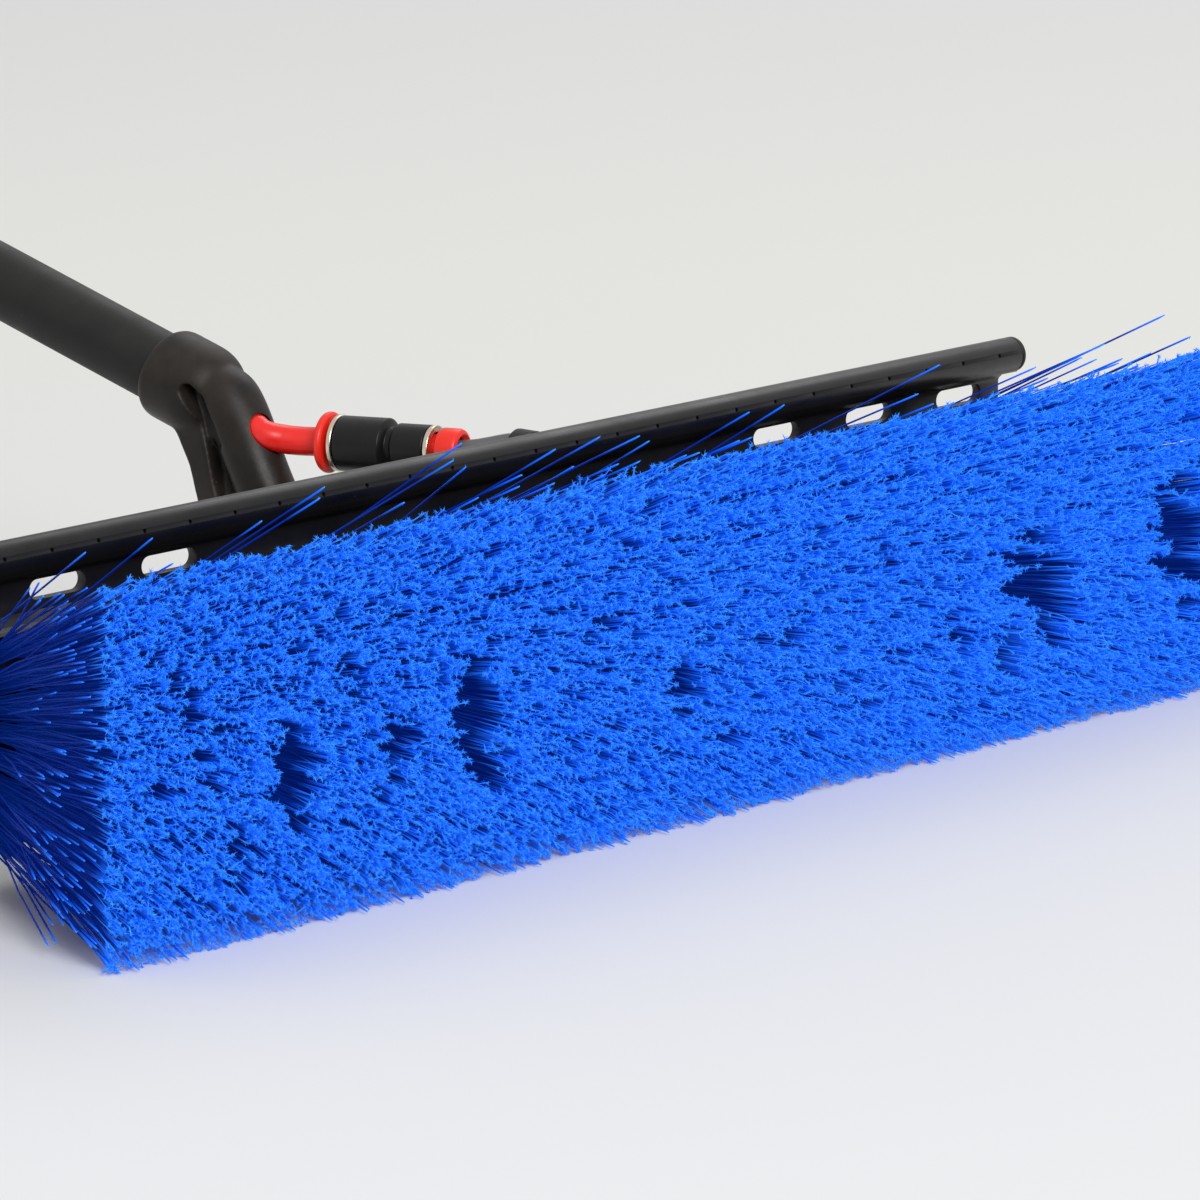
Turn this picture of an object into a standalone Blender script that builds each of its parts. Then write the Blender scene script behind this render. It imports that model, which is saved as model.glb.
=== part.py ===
"""Solar panel cleaning brush with a rinse bar, a swan neck and a push-fit hose union.

Metres, +Z up. X runs along the brush, the bristle tips face -Y, and the lower bristles touch Z = 0.
Values below are in the brush's own frame, whose Y = 0 is the rinse bar's web. CENTRE moves all of it
so that the part's origin is under the middle of its box.
"""

import math

import bmesh
import bpy
import numpy as np
from mathutils import Matrix, Vector

# Clearance between touching pieces
GAP = 0.0003

# Bristle block
TIP_Y = -0.095
TIP_LENGTH = 0.470
TIP_HEIGHT = 0.096
ROOT_LENGTH = 0.410
TUFTS_IN_ROW = 42
ROWS = 8
ROOT_FILL = 0.62
TIP_FILL = 0.80
TIP_SCATTER = 0.0035
FLAT_CUT = 0.0005

# Stock
STOCK_MARGIN = 0.007
STOCK_HEIGHT = 0.055
STOCK_TOP = 0.068
STOCK_THICKNESS = 0.0182
STOCK_ROUNDING = 0.004
RECESS_DEPTH = 0.0045
RECESS_WALL = 0.0014
STRIP_THICKNESS = 0.004
CAP_THICKNESS = 0.003

# Rinse bar
WEB_LENGTH = 0.436
WEB_THICKNESS = 0.003
WEB_LOW = 0.0545
TUBE_RADIUS = 0.005
TUBE_WALL = 0.001
TUBE_OVERHANG = 0.0068
SLOT_PITCH = 0.040
SLOTS_EACH_SIDE = 3
SLOT_FROM_END = 0.018
SLOT_LENGTH = 0.020
SLOT_WIDTH = 0.0052
SLOT_BELOW_TUBE = 0.0087
SLOT_Z = 0.072
JET_PITCH = 0.0165
JET_FROM_END = 0.0034
JET_RADIUS = 0.0006
JET_RISE = math.radians(17)
PLUG_LENGTH = 0.011
PLUG_RIM = 0.0012

# Screws
SCREW_RADIUS = 0.002
SCREW_HEAD_RADIUS = 0.0036
SCREW_HEAD_HEIGHT = 0.0024
SCREW_LENGTH = 0.012
BAR_SCREW_FROM_END = 0.038
BAR_SCREW_INNER = 0.070
BAR_SCREW_Z = 0.0605
BRACKET_SCREW_X = 0.0235
BRACKET_SCREW_RISE = 0.0065

# Neck: its leg is (distance behind the bar, rise over NECK_Z, radius), its web and rib (distance, rise)
NECK_RADIUS = 0.0095
NECK_Z = 0.041
NECK_FOOT = 0.0045
NECK_LEG = (
    (NECK_FOOT, 0.0, NECK_RADIUS), (0.0250, 0.0, NECK_RADIUS), (0.0430, 0.0003, 0.0092),
    (0.0560, 0.0022, 0.0088), (0.0655, 0.0068, 0.0084), (0.0725, 0.0128, 0.0082), (0.0786, 0.0206, 0.0082),
    (0.0840, 0.0299, 0.0083), (0.0886, 0.0388, 0.0087), (0.0938, 0.0447, 0.0094), (0.0980, 0.0468, 0.0088),
)
WEB_OUTLINE = (
    (0.0800, 0.0080), (0.0930, 0.0100), (0.0980, 0.0300), (0.1010, 0.0450), (0.0950, 0.0450),
    (0.0886, 0.0388), (0.0840, 0.0299), (0.0786, 0.0206),
)
NECK_WEB = 0.004
RIB_OUTLINE = (
    (0.0700, 0.0060), (0.0780, 0.0005), (0.0880, 0.0030), (0.0950, 0.0090), (0.0990, 0.0176),
    (0.1020, 0.0271), (0.1061, 0.0344), (0.1095, 0.0400), (0.1040, 0.0480), (0.1005, 0.0480),
    (0.0977, 0.0413), (0.0952, 0.0333), (0.0928, 0.0234), (0.0895, 0.0140), (0.0800, 0.0110),
)
NECK_RIB = 0.010
SOCKET_BEHIND = 0.1045
SOCKET_RISE = 0.0473
SOCKET_LENGTH = 0.0128
SOCKET_RADIUS = 0.0130

# Bracket that holds the neck on the stock
BRACKET_WIDTH = 0.060
BRACKET_HEIGHT = 0.024
BRACKET_PLATE = 0.004
SLEEVE_RADIUS = 0.0140
SLEEVE_LENGTH = 0.026
SLEEVE_PIN_Y = 0.020
BRACKET_RIB = 0.0175
PIN_RADIUS = 0.002

# Pole
POLE_RISE = math.radians(15.5)
POLE_LENGTH = 0.235
POLE_RADIUS = 0.010
POLE_WALL = 0.0015
POLE_START = 0.004
END_PLUG_DEPTH = 0.014
END_PLUG_RIM = 0.003
SPIGOT_LENGTH = 0.016
SPIGOT_RADIUS = 0.0042
SPIGOT_ROOT = 0.0015
SPIGOT_BORE = 0.0022

# Hose and union, with distances along the union's axis from the neck's outlet
OUTLET_ASIDE = 0.0032
OUTLET_BEHIND = 0.0840
OUTLET_RISE = 0.0356
UNION_YAW = math.radians(15.6)
UNION_RISE = math.radians(1.5)
HOSE_RADIUS = 0.004
HOSE_BEND = ((0.0058, 0.0713, 0.0360), (0.0030, 0.0758, 0.0364), (-0.0002, 0.0806, 0.0377), (-0.0006, 0.0885, 0.0415))
STEM_RADIUS = 0.003
COLLAR_TRAVEL = 0.0012
LEFT_COLLAR_AT = 0.0195
LEFT_FLANGE_RADIUS = 0.0084
LEFT_FLANGE = 0.0025
LEFT_BODY_RADIUS = 0.0076
LEFT_BODY_END = 0.0390
RIGHT_BODY_RADIUS = 0.0064
RIGHT_BODY_AT = 0.0420
RIGHT_BODY_END = 0.0520
WAIST_RADIUS = 0.0052
RING_LENGTH = 0.0014
RIGHT_COLLAR_LENGTH = 0.0066
RIGHT_COLLAR_RADIUS = 0.0059
SLEEVE_IN_BODY = 0.0070
GRAB_LENGTH = 0.0010
SEAL_LENGTH = 0.0022
INLET_X = 0.0245
INLET_RADIUS = 0.0048
INLET_LENGTH = 0.0070

# Values that follow from the ones above
X_AXIS = Vector((1, 0, 0))
Y_AXIS = Vector((0, 1, 0))
TUBE_Z = SLOT_Z + SLOT_BELOW_TUBE
STOCK_LENGTH = ROOT_LENGTH + 2 * STOCK_MARGIN
STOCK_Z = STOCK_TOP - STOCK_HEIGHT / 2
STOCK_BACK = -WEB_THICKNESS / 2 - GAP
STOCK_FRONT = STOCK_BACK - STOCK_THICKNESS
BRACKET_FRONT = STOCK_BACK + GAP
SLOT_X = [WEB_LENGTH / 2 - SLOT_FROM_END - n * SLOT_PITCH for n in range(SLOTS_EACH_SIDE)]
JETS_EACH_SIDE = int((WEB_LENGTH / 2 - JET_FROM_END) / JET_PITCH)
BAR_SCREW_X = (WEB_LENGTH / 2 - BAR_SCREW_FROM_END, BAR_SCREW_INNER)
OUTLET = Vector((OUTLET_ASIDE, OUTLET_BEHIND, NECK_Z + OUTLET_RISE))
POLE_AXIS = Vector((0, math.cos(POLE_RISE), math.sin(POLE_RISE)))
POLE_ORIGIN = Vector((0, SOCKET_BEHIND, NECK_Z + SOCKET_RISE))
UNION_AXIS = Vector((
    math.sin(UNION_YAW) * math.cos(UNION_RISE),
    -math.cos(UNION_YAW) * math.cos(UNION_RISE),
    math.sin(UNION_RISE),
))
POLE_REACH = POLE_START + POLE_LENGTH + END_PLUG_RIM + SPIGOT_LENGTH
BACK_Y = POLE_ORIGIN.y + POLE_REACH * POLE_AXIS.y + SPIGOT_RADIUS * POLE_AXIS.z
CENTRE = Vector((0, -(TIP_Y + BACK_Y) / 2, 0))


def clear_scene():
    for old in list(bpy.data.objects):
        bpy.data.objects.remove(old, do_unlink=True)


clear_scene()
brush = bpy.data.collections.new("solar_panel_brush")
helpers = bpy.data.collections.new("cutters")
bpy.context.scene.collection.children.link(brush)
bpy.context.scene.collection.children.link(helpers)
frame = bpy.data.objects.new("brush_frame", None)
frame.location = CENTRE
brush.objects.link(frame)


def finish_material(name, colour, roughness, metallic=0.0):
    material = bpy.data.materials.new(name)
    material.use_nodes = True
    shader = material.node_tree.nodes["Principled BSDF"]
    shader.inputs["Base Color"].default_value = (*colour, 1)
    shader.inputs["Roughness"].default_value = roughness
    shader.inputs["Metallic"].default_value = metallic
    return material


BLUE = finish_material("bristle_blue", (0.01, 0.08, 0.75), 0.45)
BLACK = finish_material("satin_black", (0.012, 0.012, 0.013), 0.35)
CHARCOAL = finish_material("charcoal_plastic", (0.025, 0.024, 0.023), 0.5)
RED = finish_material("red_plastic", (0.75, 0.02, 0.01), 0.35)
STEEL = finish_material("bright_steel", (0.75, 0.72, 0.65), 0.22, 1.0)
RUBBER = finish_material("black_rubber", (0.015, 0.015, 0.015), 0.8)
GREY = finish_material("grey_tube", (0.10, 0.10, 0.105), 0.4)


def named(mesh, name, material=None):
    """Puts a mesh into the brush, or among the cutters where it has no material."""
    piece = bpy.data.objects.new(name, mesh)
    if material is None:
        helpers.objects.link(piece)
        piece.hide_render = True
        piece.display_type = "WIRE"
    else:
        brush.objects.link(piece)
        mesh.materials.clear()
        mesh.materials.append(material)
    piece.parent = frame
    return piece


def mesh_of(build, name):
    shape = bmesh.new()
    build(shape)
    mesh = bpy.data.meshes.new(name)
    shape.to_mesh(mesh)
    shape.free()
    return mesh


def block(name, low, high, material=None, rounding=0.0):
    """A box from its low corner to its high corner, with its edges rounded by a Bevel."""
    size = Vector(high) - Vector(low)

    def build(shape):
        bmesh.ops.create_cube(shape, size=1.0)
        bmesh.ops.scale(shape, vec=size, verts=shape.verts)
        bmesh.ops.translate(shape, vec=(Vector(high) + Vector(low)) / 2, verts=shape.verts)

    piece = named(mesh_of(build, name), name, material)
    if rounding:
        bevel = piece.modifiers.new("rounding", "BEVEL")
        bevel.width = rounding
        bevel.segments = 3
    return piece


def along(start, direction):
    """The matrix that takes local +X to a direction, from a start point."""
    turn = Vector((1, 0, 0)).rotation_difference(Vector(direction)).to_matrix().to_4x4()
    return Matrix.Translation(Vector(start)) @ turn


def signed_area(outline):
    pairs = zip(outline, (*outline[1:], outline[0]))
    return sum(a[0] * b[1] - b[0] * a[1] for a, b in pairs) / 2


def turned(name, profile, place, material=None, sides=24, closed=False):
    """A profile of (distance, radius) points turned about local X by a Screw modifier.

    A closed profile makes a ring. An open one starts and ends on the axis, where its points merge.
    The outer side has to run towards -X for the faces to point outwards, so the order is set by area.
    """
    if signed_area(profile) < 0:
        profile = profile[::-1]
    mesh = bpy.data.meshes.new(name)
    edges = [(n, n + 1) for n in range(len(profile) - 1)]
    if closed:
        edges.append((len(profile) - 1, 0))
    mesh.from_pydata([(x, r, 0) for x, r in profile], edges, [])
    piece = named(mesh, name, material)
    piece.matrix_local = place
    screw = piece.modifiers.new("turn", "SCREW")
    screw.axis = "X"
    screw.angle = 2 * math.pi
    screw.steps = sides
    screw.render_steps = sides
    screw.use_merge_vertices = True
    screw.merge_threshold = 0.000005
    screw.use_smooth_shade = True
    return piece


def ring(name, start, end, outer, inner, place, material=None, sides=24):
    profile = ((start, inner), (end, inner), (end, outer), (start, outer))
    return turned(name, profile, place, material, sides, closed=True)


def rod(name, start, end, radius, place, material=None, sides=24):
    return turned(name, ((start, 0), (start, radius), (end, radius), (end, 0)), place, material, sides)


def through_points(points, steps):
    """A smooth curve through points of any size (Catmull-Rom), read at even steps between each pair."""
    p = np.array(points, float)
    p = np.vstack([2 * p[0] - p[1], p, 2 * p[-1] - p[-2]])
    t = np.linspace(0, 1, steps, endpoint=False)[:, None]
    runs = [
        0.5 * (2 * b + (c - a) * t + (2 * a - 5 * b + 4 * c - d) * t**2 + (3 * b - a - 3 * c + d) * t**3)
        for a, b, c, d in zip(p, p[1:], p[2:], p[3:])
    ]
    return [Vector(q) for q in np.vstack([*runs, p[-2:-1]])]


def tube(name, points, radius, material=None, resolution=4):
    """A curve with a round bevel and filled caps. A point's fourth number, if it has one, is its share of the radius."""
    curve = bpy.data.curves.new(name, "CURVE")
    curve.dimensions = "3D"
    curve.bevel_depth = radius
    curve.bevel_resolution = resolution
    curve.use_fill_caps = True
    curve.twist_mode = "MINIMUM"
    spline = curve.splines.new("POLY")
    spline.points.add(len(points) - 1)
    for point, place in zip(spline.points, points):
        point.co = (*place[:3], 1)
        point.radius = place[3] if len(place) > 3 else 1
    return named(curve, name, material)


def as_mesh(piece):
    """The same piece as a closed mesh, so that it can be cut or joined."""
    bpy.context.view_layer.update()
    graph = bpy.context.evaluated_depsgraph_get()
    mesh = bpy.data.meshes.new_from_object(piece.evaluated_get(graph))
    shape = bmesh.new()
    shape.from_mesh(mesh)
    bmesh.ops.remove_doubles(shape, verts=shape.verts, dist=0.000005)
    bmesh.ops.recalc_face_normals(shape, faces=shape.faces)
    shape.to_mesh(mesh)
    shape.free()
    name, material = piece.name, None if piece.hide_render else piece.data.materials[0]
    place = piece.matrix_local.copy()
    bpy.data.objects.remove(piece, do_unlink=True)
    made = named(mesh, name, material)
    made.matrix_local = place
    return made


def flat_shape(name, outline, thickness, material=None):
    """An outline of (y, z) points in the brush's middle plane, given a thickness along X."""
    curve = bpy.data.curves.new(name, "CURVE")
    curve.dimensions = "2D"
    curve.fill_mode = "BOTH"
    curve.extrude = thickness / 2
    spline = curve.splines.new("POLY")
    spline.points.add(len(outline) - 1)
    for point, (y, z) in zip(spline.points, outline):
        point.co = (y, z, 0, 1)
    spline.use_cyclic_u = True
    piece = named(curve, name, material)
    piece.matrix_local = Matrix(((0, 0, 1, 0), (1, 0, 0, 0), (0, 1, 0, 0), (0, 0, 0, 1)))
    return as_mesh(piece)


def cut(piece, cutter, operation="DIFFERENCE", solver="EXACT"):
    change = piece.modifiers.new(cutter.name, "BOOLEAN")
    change.operation = operation
    change.object = cutter
    change.solver = solver
    return piece


def screw(name, head, into):
    """A pan-head screw: a domed head on a shank, with its head's underside at a point."""
    profile = (
        (-SCREW_HEAD_HEIGHT, 0), (-SCREW_HEAD_HEIGHT, SCREW_HEAD_RADIUS * 0.6),
        (-SCREW_HEAD_HEIGHT * 0.55, SCREW_HEAD_RADIUS * 0.92), (0, SCREW_HEAD_RADIUS),
        (0, SCREW_RADIUS), (SCREW_LENGTH, SCREW_RADIUS), (SCREW_LENGTH, 0),
    )
    return turned(name, profile, along(head, into), STEEL, 12)


def screw_hole(name, head, into, depth=SCREW_LENGTH + 2 * GAP):
    return rod(name, -GAP, depth, SCREW_RADIUS + GAP, along(head, into), None, 12)


def bristle_row(number):
    """One row of tufts that widen towards their tips, grown out of the cells of its backing strip."""
    pitch = (STOCK_HEIGHT - 2 * RECESS_WALL) / ROWS
    root_z = STOCK_Z + (number - (ROWS - 1) / 2) * pitch
    tip_pitch = TIP_HEIGHT / ROWS
    tip_z = (number + 0.5) * tip_pitch
    front = STOCK_FRONT + RECESS_DEPTH - GAP - STRIP_THICKNESS
    scatter = np.random.default_rng(40 + number).uniform(-1, 1, (TUFTS_IN_ROW, 3))

    def build(shape):
        bmesh.ops.create_cube(shape, size=1.0)
        size = (ROOT_LENGTH, STRIP_THICKNESS, pitch - GAP)
        bmesh.ops.scale(shape, vec=size, verts=shape.verts)
        middle = (0, front + STRIP_THICKNESS / 2, root_z)
        bmesh.ops.translate(shape, vec=middle, verts=shape.verts)
        lengthwise = [e for e in shape.edges if abs(e.verts[0].co.x - e.verts[1].co.x) > ROOT_LENGTH / 2]
        bmesh.ops.subdivide_edges(shape, edges=lengthwise, cuts=TUFTS_IN_ROW - 1, use_grid_fill=True)
        cells = sorted((f for f in shape.faces if f.normal.y < -0.9), key=lambda f: f.calc_center_median().x)
        wide, tall = ROOT_LENGTH / TUFTS_IN_ROW, pitch - GAP
        inset = min(wide, tall) * (1 - ROOT_FILL) / 2
        bmesh.ops.inset_individual(shape, faces=cells, thickness=inset, use_even_offset=True)
        grown = bmesh.ops.extrude_discrete_faces(shape, faces=cells)["faces"]
        tip_wide = TIP_LENGTH / TUFTS_IN_ROW
        for tip, cell, (jx, jy, jz) in zip(grown, range(TUFTS_IN_ROW), scatter):
            here = tip.calc_center_median()
            there = Vector((
                (cell + 0.5) * tip_wide - TIP_LENGTH / 2,
                TIP_Y + TIP_SCATTER * (1 + jy) / 2,
                tip_z,
            ))
            half = Vector((tip_wide * TIP_FILL / 2, 0, tip_pitch * TIP_FILL / 2))
            low = FLAT_CUT if number == 0 else 0
            for vert in tip.verts:
                side = Vector((math.copysign(1, vert.co.x - here.x), 0, math.copysign(1, vert.co.z - here.z)))
                vert.co = there + Vector((side.x * half.x, 0, side.z * half.z))
                vert.co.x += jx * tip_wide * (1 - TIP_FILL) / 3
                vert.co.z += jz * tip_pitch * (1 - TIP_FILL) / 3
                if low and side.z < 0:
                    vert.co.z = -FLAT_CUT
        if number == 0:
            geometry = shape.verts[:] + shape.edges[:] + shape.faces[:]
            bmesh.ops.bisect_plane(shape, geom=geometry, plane_co=(0, 0, 0), plane_no=(0, 0, 1), clear_inner=True)
            bmesh.ops.holes_fill(shape, edges=[e for e in shape.edges if e.is_boundary])

    return named(mesh_of(build, f"bristle_row_{number + 1}"), f"bristle_row_{number + 1}", BLUE)


def stock():
    piece = block(
        "stock",
        (-STOCK_LENGTH / 2, STOCK_FRONT, STOCK_Z - STOCK_HEIGHT / 2),
        (STOCK_LENGTH / 2, STOCK_BACK, STOCK_Z + STOCK_HEIGHT / 2),
        BLACK, STOCK_ROUNDING,
    )
    half = ROOT_LENGTH / 2 + GAP
    recess = block(
        "stock_recess",
        (-half, STOCK_FRONT - 2 * RECESS_DEPTH, STOCK_Z - STOCK_HEIGHT / 2 + RECESS_WALL - GAP / 2),
        (half, STOCK_FRONT + RECESS_DEPTH, STOCK_Z + STOCK_HEIGHT / 2 - RECESS_WALL + GAP / 2),
    )
    return cut(piece, recess)


def bar_screw_places():
    y = WEB_THICKNESS / 2 + GAP
    return [Vector((side * x, y, BAR_SCREW_Z)) for side in (-1, 1) for x in BAR_SCREW_X]


def bracket_screw_places():
    y = BRACKET_FRONT + BRACKET_PLATE + GAP
    rises = (-BRACKET_SCREW_RISE, BRACKET_SCREW_RISE)
    return [Vector((x, y, NECK_Z + z)) for x in (-BRACKET_SCREW_X, BRACKET_SCREW_X) for z in rises]


def rinse_bar(screw_places):
    """A tube on a flat web, with slots through the web, screw holes and a row of jets."""
    web = block(
        "rinse_bar",
        (-WEB_LENGTH / 2, -WEB_THICKNESS / 2, WEB_LOW),
        (WEB_LENGTH / 2, WEB_THICKNESS / 2, TUBE_Z - TUBE_RADIUS + TUBE_WALL / 2),
        BLACK,
    )
    half = WEB_LENGTH / 2 + TUBE_OVERHANG
    cut(web, rod("bar_tube", -half, half, TUBE_RADIUS, along((0, 0, TUBE_Z), X_AXIS)), "UNION")
    for n, x in enumerate(SLOT_X):
        for side in (-1, 1):
            cut(web, slot_cutter(f"slot_{n}_{side}", side * x))
    for n, place in enumerate(screw_places):
        cut(web, screw_hole(f"bar_hole_{n}", place, -Y_AXIS))
    bore = TUBE_RADIUS - TUBE_WALL
    cut(web, rod("bar_bore", -half - GAP, half + GAP, bore, along((0, 0, TUBE_Z), X_AXIS)))
    aim = Vector((0, -math.cos(JET_RISE), math.sin(JET_RISE)))
    for n in range(-JETS_EACH_SIDE, JETS_EACH_SIDE + 1):
        place = along((n * JET_PITCH, 0, TUBE_Z), aim)
        jet = rod(f"jet_{n + JETS_EACH_SIDE}", bore / 2, 2 * TUBE_RADIUS, JET_RADIUS, place, None, 6)
        cut(web, jet, solver="MANIFOLD")
    port = along((INLET_X, 0, TUBE_Z), Y_AXIS)
    cutter = rod("inlet_port", bore / 2, 2 * TUBE_RADIUS, SPIGOT_BORE, port, None, 12)
    return cut(web, cutter, solver="MANIFOLD")


def slot_cutter(name, x):
    """A round-ended slot through the web: one ring of a stadium, as a flat curve given depth."""
    reach = (SLOT_LENGTH - SLOT_WIDTH) / 2
    turns = [math.pi * n / 6 for n in range(7)]
    right = [(reach + SLOT_WIDTH / 2 * math.sin(a), -SLOT_WIDTH / 2 * math.cos(a)) for a in turns]
    left = [(-across, -up) for across, up in right]
    curve = bpy.data.curves.new(name, "CURVE")
    curve.dimensions = "2D"
    curve.fill_mode = "BOTH"
    curve.extrude = 2 * WEB_THICKNESS
    spline = curve.splines.new("POLY")
    spline.points.add(len(right + left) - 1)
    for point, (across, up) in zip(spline.points, right + left):
        point.co = (across, up, 0, 1)
    spline.use_cyclic_u = True
    piece = named(curve, name)
    piece.matrix_local = Matrix.Translation((x, 0, SLOT_Z)) @ Matrix.Rotation(math.pi / 2, 4, "X")
    return as_mesh(piece)


def bar_end(side, name):
    """A push-in plug with a rounded rim, and the seal ring on its spigot."""
    place = along((side * (WEB_LENGTH / 2 + TUBE_OVERHANG + GAP), 0, TUBE_Z), side * X_AXIS)
    bore = TUBE_RADIUS - TUBE_WALL
    groove = (-PLUG_LENGTH * 0.55, -PLUG_LENGTH * 0.35)
    profile = (
        (-PLUG_LENGTH, 0), (-PLUG_LENGTH, bore - GAP), (groove[0], bore - GAP), (groove[0], bore * 0.6),
        (groove[1], bore * 0.6), (groove[1], bore - GAP), (0, bore - GAP), (0, TUBE_RADIUS),
        (PLUG_RIM, TUBE_RADIUS), (PLUG_RIM * 1.6, TUBE_RADIUS * 0.8), (PLUG_RIM * 1.9, 0),
    )
    turned(f"bar_plug_{name}", profile, place, BLACK)
    seal = (groove[0] + GAP, groove[1] - GAP, bore - GAP / 2, bore * 0.6 + GAP / 2)
    ring(f"bar_seal_{name}", *seal, place, RUBBER, 16)


def bracket(screw_places):
    """A plate on the back of the stock with a sleeve that the neck's foot is pinned into."""
    piece = block(
        "neck_bracket",
        (-BRACKET_WIDTH / 2, BRACKET_FRONT, NECK_Z - BRACKET_HEIGHT / 2),
        (BRACKET_WIDTH / 2, BRACKET_FRONT + BRACKET_PLATE, NECK_Z + BRACKET_HEIGHT / 2),
        CHARCOAL, BRACKET_PLATE / 4,
    )
    sleeve = along((0, 0, NECK_Z), Y_AXIS)
    cut(piece, rod("bracket_sleeve", BRACKET_PLATE / 2, SLEEVE_LENGTH, SLEEVE_RADIUS, sleeve), "UNION")
    for side in (-1, 1):
        low = (min(0, side * BRACKET_RIB), BRACKET_FRONT + BRACKET_PLATE / 2, NECK_Z - BRACKET_PLATE / 2)
        high = (max(0, side * BRACKET_RIB), SLEEVE_LENGTH * 0.5, NECK_Z + BRACKET_PLATE / 2)
        cut(piece, block(f"bracket_rib_{side}", low, high), "UNION")
    cut(piece, rod("bracket_bore", NECK_FOOT - GAP, 2 * SLEEVE_LENGTH, NECK_RADIUS + GAP, sleeve))
    for n, place in enumerate(screw_places):
        cut(piece, screw_hole(f"bracket_hole_{n}", place, -Y_AXIS))
    pin = along((0, SLEEVE_PIN_Y, NECK_Z), X_AXIS)
    return cut(piece, rod("pin_hole", -BRACKET_WIDTH, BRACKET_WIDTH, PIN_RADIUS + GAP, pin, None, 16))


def neck():
    """A tapering leg that bends up into the pole's domed socket, with a thin web and a rib behind it."""
    leg = [(0, y, NECK_Z + rise, radius / NECK_RADIUS) for y, rise, radius in NECK_LEG]
    piece = as_mesh(tube("neck", through_points(leg, 3), NECK_RADIUS, CHARCOAL, 5))
    socket = along(POLE_ORIGIN, POLE_AXIS)
    turns = [math.radians(a) for a in (75, 60, 45, 30, 15, 0)]
    dome = [(-SOCKET_RADIUS * math.sin(a), SOCKET_RADIUS * math.cos(a)) for a in turns]
    lip = SOCKET_RADIUS - POLE_RADIUS - 3 * GAP
    profile = (
        (-SOCKET_RADIUS, 0), *dome, (SOCKET_LENGTH - lip, SOCKET_RADIUS),
        (SOCKET_LENGTH - lip * 0.3, SOCKET_RADIUS - lip * 0.3), (SOCKET_LENGTH, SOCKET_RADIUS - lip), (SOCKET_LENGTH, 0),
    )
    cut(piece, turned("neck_socket", profile, socket), "UNION")
    for name, outline, thickness in (("neck_web", WEB_OUTLINE, NECK_WEB), ("neck_rib", RIB_OUTLINE, NECK_RIB)):
        cut(piece, flat_shape(name, [(y, NECK_Z + rise) for y, rise in outline], thickness), "UNION")
    seat = POLE_RADIUS + GAP
    cut(piece, rod("socket_bore", POLE_START - GAP, 2 * SOCKET_LENGTH, seat, socket))
    cut(piece, as_mesh(tube("hose_way", hose_route(), HOSE_RADIUS + GAP, None, 3)))
    pin = along((0, SLEEVE_PIN_Y, NECK_Z), X_AXIS)
    return cut(piece, rod("neck_pin_hole", -BRACKET_WIDTH, BRACKET_WIDTH, PIN_RADIUS + GAP, pin, None, 16))


def pole():
    place = along(POLE_ORIGIN + POLE_AXIS * POLE_START, POLE_AXIS)
    ring("pole_tube", 0, POLE_LENGTH, POLE_RADIUS, POLE_RADIUS - POLE_WALL, place, CHARCOAL, 32)
    bore = POLE_RADIUS - POLE_WALL
    end = along(POLE_ORIGIN + POLE_AXIS * (POLE_START + POLE_LENGTH + GAP), POLE_AXIS)
    tip = END_PLUG_RIM + SPIGOT_LENGTH
    barbs = [
        point
        for n in range(3)
        for point in ((tip - 0.004 * n, SPIGOT_RADIUS * 0.8), (tip - 0.004 * n - 0.003, SPIGOT_RADIUS))
    ]
    profile = (
        (tip, SPIGOT_BORE), *barbs, (END_PLUG_RIM + SPIGOT_ROOT, SPIGOT_RADIUS * 0.8),
        (END_PLUG_RIM + SPIGOT_ROOT, SPIGOT_RADIUS), (END_PLUG_RIM, SPIGOT_RADIUS), (END_PLUG_RIM, POLE_RADIUS),
        (0, POLE_RADIUS), (0, bore - GAP), (-END_PLUG_DEPTH, bore - GAP), (-END_PLUG_DEPTH, HOSE_RADIUS + GAP),
        (-GAP, HOSE_RADIUS + GAP), (-GAP, SPIGOT_BORE),
    )
    turned("pole_end_plug", profile, end, BLACK, 24, closed=True)


def hose_route():
    """From the union through the neck's outlet, and inside the pole to its end plug."""
    axis = UNION_AXIS
    start = OUTLET + axis * (LEFT_BODY_END - 0.003)
    far = POLE_ORIGIN + POLE_AXIS * (POLE_START + POLE_LENGTH - GAP)
    straight = [OUTLET + axis * x for x in (0.027, 0.018)]
    bend = [Vector((x, y, NECK_Z + rise)) for x, y, rise in HOSE_BEND]
    inside = [POLE_ORIGIN + POLE_AXIS * x for x in (0.018, 0.045, 0.11, 0.18)]
    return through_points([start, *straight, *bend, *inside, far], 4)


def collar_left(place, body, wide, seat):
    """The flanged release collar round the hose, whose sleeve runs into the body to the grab ring."""
    start = LEFT_COLLAR_AT
    flange = start + LEFT_FLANGE
    end = body + SLEEVE_IN_BODY - COLLAR_TRAVEL - GAP
    outline = (
        (start, seat), (start, LEFT_FLANGE_RADIUS - 0.0012), (start + 0.0004, LEFT_FLANGE_RADIUS - 0.0003),
        (start + 0.0010, LEFT_FLANGE_RADIUS), (flange - 0.0006, LEFT_FLANGE_RADIUS),
        (flange, LEFT_FLANGE_RADIUS - 0.0008), (flange, wide - 4 * GAP), (end, wide - 4 * GAP), (end, seat),
    )
    turned("collar_left", outline, place, RED, 24, closed=True)


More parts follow.
